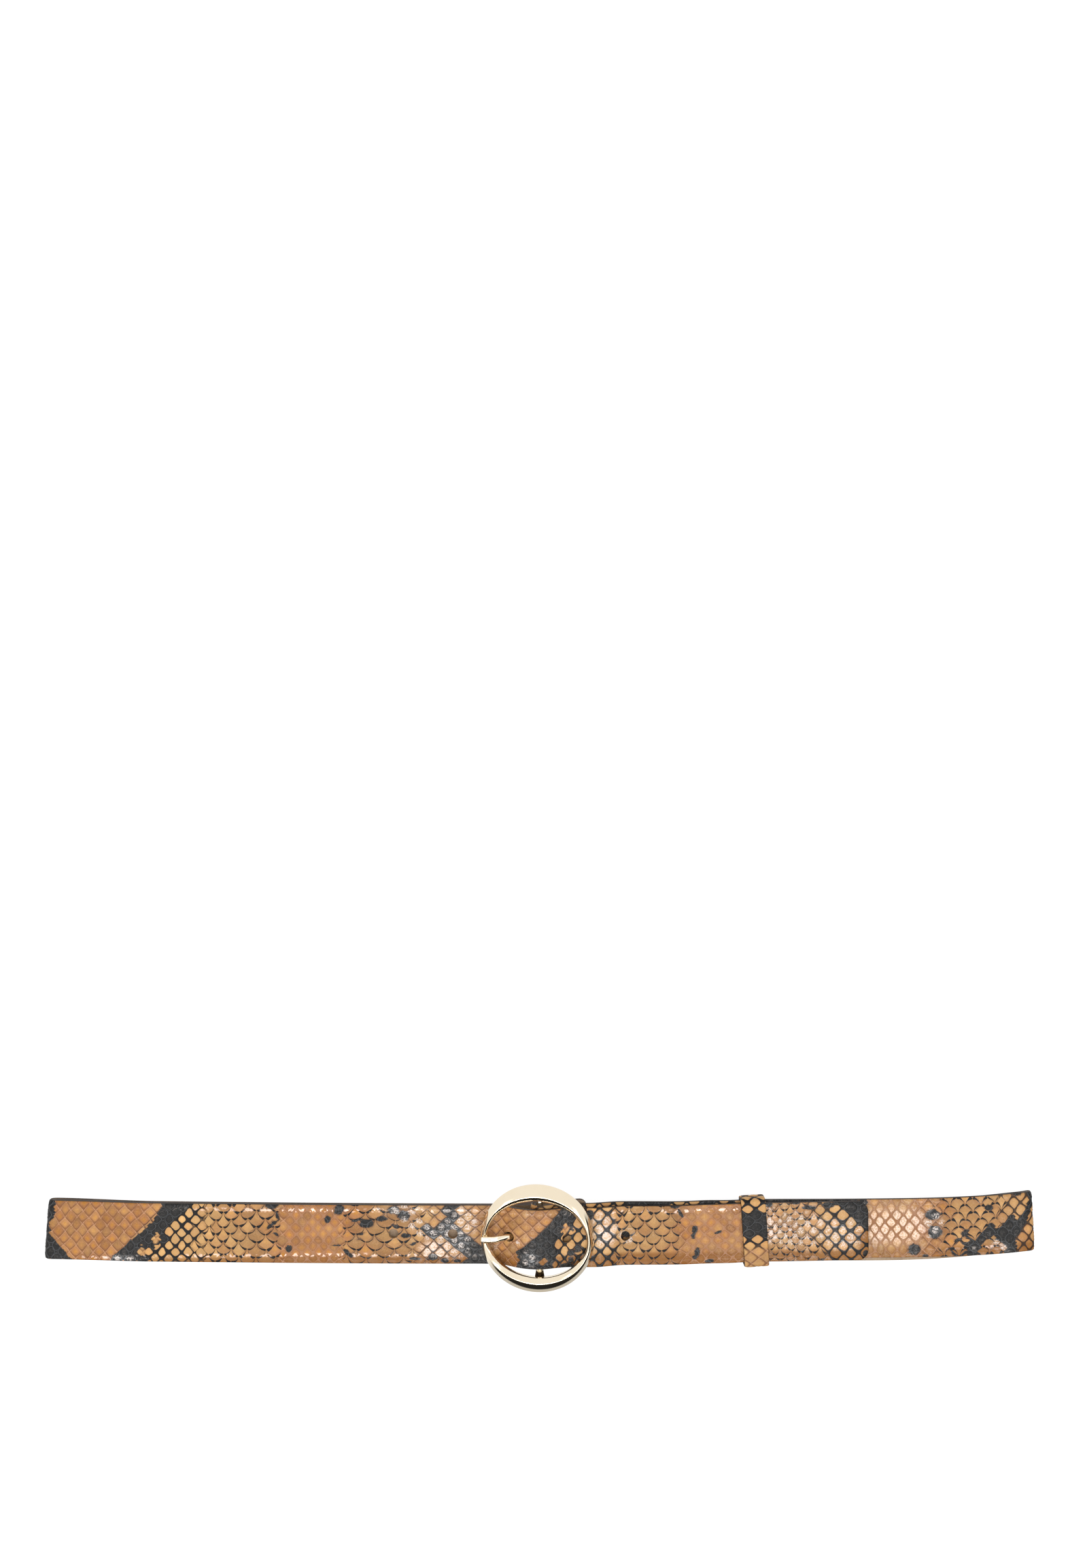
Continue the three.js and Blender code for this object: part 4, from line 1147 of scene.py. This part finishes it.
KEEPER_PATH = keeper_path()
KEEPER_ALONG = lengths_along(KEEPER_PATH)
KEEPER_LENGTH = KEEPER_ALONG[-1]
KEEPER_FRONT = KEEPER_LENGTH / 2  # the middle of the front face
KEEPER_AHEAD = np.gradient(KEEPER_PATH, KEEPER_ALONG, axis=0)
print(f"the keeper's strip is {KEEPER_LENGTH:.0f} mm long")


def lay_keeper(along, across, height):
    columns = [*KEEPER_PATH.T, *KEEPER_AHEAD.T]
    y, z, ahead_y, ahead_z = (np.interp(along, KEEPER_ALONG, column) for column in columns)
    size = np.hypot(ahead_y, ahead_z)
    y, z = y + ahead_z / size * height, z - ahead_y / size * height
    turn = math.radians(KEEPER_TURN)
    x = math.cos(turn) * across - math.sin(turn) * y
    y = math.sin(turn) * across + math.cos(turn) * y
    place = (KEEPER_X, rise(KEEPER_X) + KEEPER_ASIDE, KEEPER_BASE_Z + LAYER / 2)
    return np.stack([x + place[0], y + place[1], z + place[2]], axis=1) * MM


def spread_keeper(u, v):
    """The keeper's diamonds are longer along the belt than round the loop."""
    return (u + v) / 2 * KEEPER_SCALES[0] - 2, (u - v) / 2 * KEEPER_SCALES[1] + 1.2


def keeper_groove(along):
    return np.interp(along, (KEEPER_FRONT + 3, KEEPER_FRONT + 7), (0.85, 0.15))


def keeper_height(along, across, u, v):
    inward = KEEPER_HALF_WIDE - np.abs(across)
    roll = np.interp(inward, *zip(*KEEPER_ROLL))
    return roll + relief(u, v, 0.2 * smooth_step(inward / 0.6), keeper_groove(along), 0 * inward - 0.1)


def keeper_black(i, j, place):
    return np.where(np.abs(place(i + 0.5, j + 0.5)[0] - KEEPER_FRONT + 2.8) < 5.2, 1.0, 0.0)


keeper_bm = scale_grid(KEEPER_LENGTH / KEEPER_SCALES[0] + 2, 6)
move_points(keeper_bm, spread_keeper)
trim(keeper_bm, (KEEPER_END, -KEEPER_HALF_WIDE), (KEEPER_LENGTH - KEEPER_END, KEEPER_HALF_WIDE))
cut_beside_edges(keeper_bm, KEEPER_HALF_WIDE, (0.15, 0.5, 1.1))
for place in KEEPER_ALONG:
    cut(keeper_bm, keeper_bm.faces[:], (place, 0), (1, 0))
bmesh.ops.remove_doubles(keeper_bm, verts=keeper_bm.verts, dist=0.02)
emboss_face(keeper_bm, thicken(keeper_bm, -KEEPER_HALF_THICK), keeper_height)
mesh = make_piece("embossed_keeper", keeper_bm, ["keeper"], EMBOSSED)
scale_tones(mesh, spread_keeper, keeper_black, lambda *_: 0.25, lambda *_: 0.1)
along, across, _ = array_of(mesh.vertices, "co", 3).T
inward = KEEPER_HALF_WIDE - np.abs(across)
write_attribute(mesh, "ground", [keeper_groove(along), -0.1, 1, np.clip(inward / 3, 0, 0.4)])
write_attribute(mesh, "marks", [0, 0, 0, 0])
write_attribute(mesh, "edges", [])
bend(mesh, flat_kinds(mesh), lay_keeper, 50)

# %% [markdown]
# ## The ring
# The buckle is cast, ground and plated. Its ring is an oval that is broad above and below and slim at its
# sides. A circle is stretched to the oval, and then extruded again and again along the ring's section: up
# the inner wall, over a bevel to the crest, down the full outer slope and back under.

# %% Ring
RING_OUTER = (24.1, 22.75)
RING_INNER = (21.1, 16.2)
RING_CREST = (22.3, 18.3)
RING_HEIGHT = 4.7
INNER_WALL = 3.4
OUTER_WALL = 1.3
RING_X = -0.9
RING_TILT = 4.9
RING_BACK_Z = BAR_Z + 3
RING_MATRIX = (
    Matrix.Translation((RING_X, 0, RING_BACK_Z))
    @ Matrix.Rotation(math.radians(-RING_TILT), 4, "Y")
    @ Matrix.Rotation(math.radians(-3), 4, "Z")
)


def mixed(a, b, t):
    return tuple((1 - t) * p + t * q for p, q in zip(a, b))


def slope(low, low_z, steps, bulge):
    """Rows from a wall's top at 0 to the crest at 1, bulging out a little between."""
    rows = []
    for t in steps:
        z = low_z + (RING_HEIGHT - low_z) * (t + bulge * math.sin(math.pi * t))
        rows.append((*mixed(low, RING_CREST, t), z))
    return rows


def ring_profile():
    """Rows of half length, half height and z, once round the section."""
    outer_steps = (0.97, 0.92, 0.85, 0.75, 0.62, 0.48, 0.34, 0.2, 0.1, 0.04, 0.0)
    return [
        (*mixed(RING_INNER, RING_OUTER, 0.09), 0),
        (*mixed(RING_INNER, RING_OUTER, 0.02), 0.12),
        (*RING_INNER, 0.5),
        (*RING_INNER, INNER_WALL - 0.25),
        *slope(RING_INNER, INNER_WALL, (0.0, 0.12, 0.3, 0.5, 0.7, 0.84), 0.1),
        (*mixed(RING_CREST, RING_OUTER, -0.03), RING_HEIGHT - 0.02),
        *slope(RING_OUTER, OUTER_WALL, outer_steps, 0.14),
        (*RING_OUTER, 0.5),
        (*mixed(RING_INNER, RING_OUTER, 0.985), 0.15),
        (*mixed(RING_INNER, RING_OUTER, 0.93), 0),
    ]


def only(kind, geom):
    return [g for g in geom if isinstance(g, kind)]


def sweep_loops(bm, rows, segments):
    """Extrudes a circle through loops of half length, half height and z, and closes it on itself."""
    verts = bmesh.ops.create_circle(bm, segments=segments, radius=1)["verts"]
    start = loop = edges_of(verts)
    for here, there in zip([(1, 1, 0), *rows], rows):
        if there is not rows[0]:
            made = bmesh.ops.extrude_edge_only(bm, edges=loop)["geom"]
            verts, loop = only(bmesh.types.BMVert, made), only(bmesh.types.BMEdge, made)
        bmesh.ops.scale(bm, verts=verts, vec=(there[0] / here[0], there[1] / here[1], 1))
        bmesh.ops.translate(bm, verts=verts, vec=(0, 0, there[2] - here[2]))
    bmesh.ops.bridge_loops(bm, edges=[*start, *loop])
    bmesh.ops.recalc_face_normals(bm, faces=bm.faces)


ring_bm = bmesh.new()
sweep_loops(ring_bm, ring_profile(), 128)
bmesh.ops.transform(ring_bm, matrix=RING_MATRIX, verts=ring_bm.verts)

# %% [markdown]
# The tongue rests in a flat notch across the ring's left side. Two cuts on each side of it give the notch
# walls, and the metal between them is pressed down level.

# %% Notch
NOTCH_HALF = 1.65
NOTCH_WALL = 0.08
NOTCH_Z = RING_BACK_Z + (RING_X - 22.7) * math.sin(math.radians(RING_TILT)) + RING_HEIGHT - 0.9
LEFT_SIDE = -18  # the ring's left side lies beyond this x
for y in (-NOTCH_HALF, NOTCH_HALF, -NOTCH_HALF - NOTCH_WALL, NOTCH_HALF + NOTCH_WALL):
    middles = [(f, f.calc_center_median()) for f in ring_bm.faces]
    cut(ring_bm, [f for f, c in middles if c.x < LEFT_SIDE and abs(c.y) < 4], (0, y), (0, 1))
for v in ring_bm.verts:
    if v.co.x < LEFT_SIDE and abs(v.co.y) <= NOTCH_HALF + 0.01:
        v.co.z = min(v.co.z, NOTCH_Z)

# %% [markdown]
# The bar behind the ring carries the strap's fold and the tongue. A lug at each end joins it to the ring,
# and widens towards it.

# %% Bar and lugs
BAR_RADIUS = 1.35
BAR_LENGTH = 31.6
LUG_TOP = (2.2, 16.4, 19.6, RING_BACK_Z + 1.0)  # half width, y of its inner and outer side, z
LUG_FOOT = (1.5, 14.3, 17.6, BAR_Z - BAR_RADIUS)


def bar_and_lugs(bm):
    turned = Matrix.Translation((0, 0, BAR_Z)) @ Matrix.Rotation(math.pi / 2, 4, "X")
    ends = {"radius1": BAR_RADIUS, "radius2": BAR_RADIUS, "depth": BAR_LENGTH}
    bmesh.ops.create_cone(bm, cap_ends=True, segments=32, matrix=turned, **ends)
    for side in (-1, 1):
        block = bmesh.ops.create_cube(bm, size=1)["verts"]
        for v in block:
            half, inner, outer, z = LUG_TOP if v.co.z > 0 else LUG_FOOT
            v.co = (math.copysign(half, v.co.x), side * (outer if v.co.y * side > 0 else inner), z)
        rounding = {"offset": 0.35, "segments": 3, "profile": 0.5, "affect": "EDGES", "material": -1}
        bmesh.ops.bevel(bm, geom=edges_of(block), **rounding)


bar_and_lugs(ring_bm)
bmesh.ops.scale(ring_bm, verts=ring_bm.verts, vec=(MM, MM, MM))

# %% [markdown]
# ## The tongue
# The tongue is a forged loop round the bar, with a flat shank that rises through the hole and ends on the
# ring. The loop is a spin of its section about the bar, and the shank is extruded row by row.

# %% Tongue
SHANK = [
    # x, z, thickness, width
    (-2.3, BAR_Z, 1.3, 2.4),
    (-4.0, BAR_Z, 1.45, 2.5),
    (-5.5, BAR_Z, 1.6, 2.6),
    (-7.2, BAR_Z + 0.08, 1.7, 2.65),
    (-9, BAR_Z + 0.25, 1.8, 2.7),
    (-10.8, BAR_Z + 0.62, 1.8, 2.7),
    (-12.5, BAR_Z + 1.5, 1.8, 2.7),
    (-14.2, BAR_Z + 2.8, 1.78, 2.7),
    (-16, BAR_Z + 4.0, 1.75, 2.7),
    (-17.5, BAR_Z + 4.9, 1.72, 2.65),
    (-19, NOTCH_Z + 0.9, 1.7, 2.6),
    (-20.5, NOTCH_Z + 1.13, 1.68, 2.6),
    (-22, NOTCH_Z + 1.2, 1.65, 2.6),
    (-23.4, NOTCH_Z + 1.15, 1.55, 2.55),
    (-24.2, NOTCH_Z + 1.1, 1.45, 2.4),
    (-24.7, NOTCH_Z + 1.06, 1.1, 2.1),
    (-24.9, NOTCH_Z + 1.05, 0.7, 1.6),
]
SHANK_TURNS = np.radians(np.arange(-180, 180, 22.5))
LOOP_RADIUS = 2.3


def shank_outline(thick, width):
    """An oblong with round corners: across and up."""
    across, up = (np.sign(s) * np.abs(s) ** 0.75 for s in (np.cos(SHANK_TURNS), np.sin(SHANK_TURNS)))
    return zip(across * width / 2, up * thick / 2)


def place_row(verts, k):
    x, z, thick, width = SHANK[k]
    before, after = SHANK[max(k - 1, 0)], SHANK[min(k + 1, len(SHANK) - 1)]
    ahead = Vector((after[0] - before[0], after[1] - before[1])).normalized()
    for v, (y, up) in zip(verts, shank_outline(thick, width)):
        v.co = (x + ahead.y * up, y, z - ahead.x * up)


tongue_bm = bmesh.new()
row = bmesh.ops.create_circle(tongue_bm, segments=len(SHANK_TURNS), radius=1)["verts"]
row.sort(key=lambda v: math.atan2(v.co.y, v.co.x))
first_edges = row_edges = edges_of(row)
place_row(row, 0)
for k in range(1, len(SHANK)):
    made = bmesh.ops.extrude_edge_only(tongue_bm, edges=row_edges)["geom"]
    row_edges = only(bmesh.types.BMEdge, made)
    fresh = set(only(bmesh.types.BMVert, made))
    row = [next(e.other_vert(v) for e in v.link_edges if e.other_vert(v) in fresh) for v in row]
    place_row(row, k)
for edges in (row_edges, first_edges):
    bmesh.ops.contextual_create(tongue_bm, geom=edges)
section = bmesh.ops.create_grid(tongue_bm, x_segments=1, y_segments=1, size=0.5)["verts"]
for v in section:
    v.co = Vector((LOOP_RADIUS + v.co.x * SHANK[0][2], v.co.y * SHANK[0][3], BAR_Z))
section_faces = each_once(f for v in section for f in v.link_faces)
section_geom = [*section, *edges_of(section_faces)]
about_bar = {"cent": (0, 0, BAR_Z), "axis": (0, 1, 0), "angle": 2 * math.pi}
bmesh.ops.spin(tongue_bm, geom=section_geom, steps=40, use_merge=True, **about_bar)
bmesh.ops.delete(tongue_bm, geom=section_faces, context="FACES_ONLY")
bmesh.ops.remove_doubles(tongue_bm, verts=tongue_bm.verts, dist=0.001)
bmesh.ops.recalc_face_normals(tongue_bm, faces=tongue_bm.faces)
bmesh.ops.scale(tongue_bm, verts=tongue_bm.verts, vec=(MM, MM, MM))

# %% [markdown]
# ## Pale gold
# The plating is a pale gold, polished but not a mirror: a very soft grain breaks its reflections, and
# handling has left faint smears. All of its look is what it reflects, so the light matters most.


# %% Gold
def pale_gold():
    f = new_finish("pale_gold")
    smear = f.noise(90, 3, 0.6)
    grain = f.noise(2600, 2)
    metal = f.blend(smear, colour(240, 224, 196), colour(247, 234, 210))
    bump = f.bump(grain * 0.0012 + smear * 0.01)
    return f.surface(Base_Color=metal, Metallic=1.0, Roughness=0.07 + smear * 0.06, Normal=bump)


GOLD = pale_gold()
ring = make_piece("oval_ring", ring_bm, ["buckle_frame"], [GOLD])
ring.set_sharp_from_angle(angle=math.radians(40))
tongue = make_piece("buckle_tongue", tongue_bm, ["prong"], [GOLD])
tongue.set_sharp_from_angle(angle=math.radians(50))

# %% [markdown]
# ## Floor and light
# The belt lies on a plain white table that glows, and is lit so brightly and from so many sides that it
# shows no shade, apart from a shadow painted on it under the buckle. The studio is a pale room with a
# bright panel on each side, darker low down on the near side. That dark band, under a bright strip, is
# what draws the dark lines in the gold.

# %% Floor
floor_bm = bmesh.new()
bmesh.ops.create_grid(floor_bm, x_segments=1, y_segments=1, size=3)
# A shadow is painted into the table's glow under the buckle, where the table shows between the ring and the
# strap.
SHADOW_MIDDLE = (-1, 12)
SHADOW_SIZE = (16, 6)  # half its length and width
table = new_finish("white_table")
x, y = table.parts(table.place(), 2)
u, v = ((c * 1000 - middle) / size for c, middle, size in zip((x, y), SHADOW_MIDDLE, SHADOW_SIZE))
# The painted shadow under the buckle.
painted_shadow = 1 - (u**2 + v**2).step(0.7, 1)
glow = table.blend(painted_shadow, (1, 1, 1, 1), (0.06, 0.035, 0.025, 1))
finish = {"Base_Color": (0.08, 0.08, 0.08, 1), "Roughness": 0.9}
white = table.surface(Emission_Color=glow, Emission_Strength=0.94, **finish)
floor = add_mesh("floor", floor_bm, [white])
floor.visible_glossy = False

# %% World and lamps
world = bpy.data.worlds.new("studio")
bpy.context.scene.world = world
sky = Finish(world)
dx, dy, dz = sky.parts(sky.node("ShaderNodeTexCoord", out="Generated"))
near_side = (dx * 0.55 - dy * 0.84).step(0.16, 0.36)
lift = dz + dy * 0.55
below = dz.step(-0.24, -0.16)
dark_band = near_side * (1 - lift.step(0.2, 0.24)) * below
bright_strip = near_side * lift.step(0.2, 0.24) * (1 - lift.step(0.36, 0.4))
side_panels = dx.size().step(0.5, 0.54) * (1 - dx.size().step(0.66, 0.7))
side_panels = side_panels * (1 - dy.size().step(0.5, 0.6)) * dz.step(0, 0.1)
overhead = (dz * 0.957 - dy * 0.29).step(0.86, 0.97)
brightness = (1 - dark_band * 0.98 - near_side * (1 - below) * 0.4) * (1 - overhead * 0.6)
brightness = brightness + bright_strip * 0.8 + side_panels * 1.2
background = sky.node("ShaderNodeBackground", inputs=[sky.brighten((1, 1, 1, 1), brightness), 1.0])
sky.node("ShaderNodeOutputWorld", inputs=[background])


def strip_lamp(name, angle, size, brightness):
    """A long lamp over the belt, at an angle from the upright, towards the far side."""
    place = Vector((0, math.sin(math.radians(angle)), math.cos(math.radians(angle)))) * 1.2
    data = bpy.data.lights.new(name, "AREA")
    data.shape = "RECTANGLE"
    data.size, data.size_y = size
    data.energy = brightness * math.pi * size[0] * size[1]
    light = add_object(name, data)
    light.matrix_world = Matrix.Translation(place) @ place.to_track_quat("Z", "Y").to_matrix().to_4x4()


strip_lamp("strip_above", 1, (1.5, 0.14), 11)
strip_lamp("strip_middle", -17, (1.5, 0.06), 6)
strip_lamp("strip_near", -34, (1.5, 0.14), 11)
bpy.context.scene.view_settings.view_transform = "Standard"
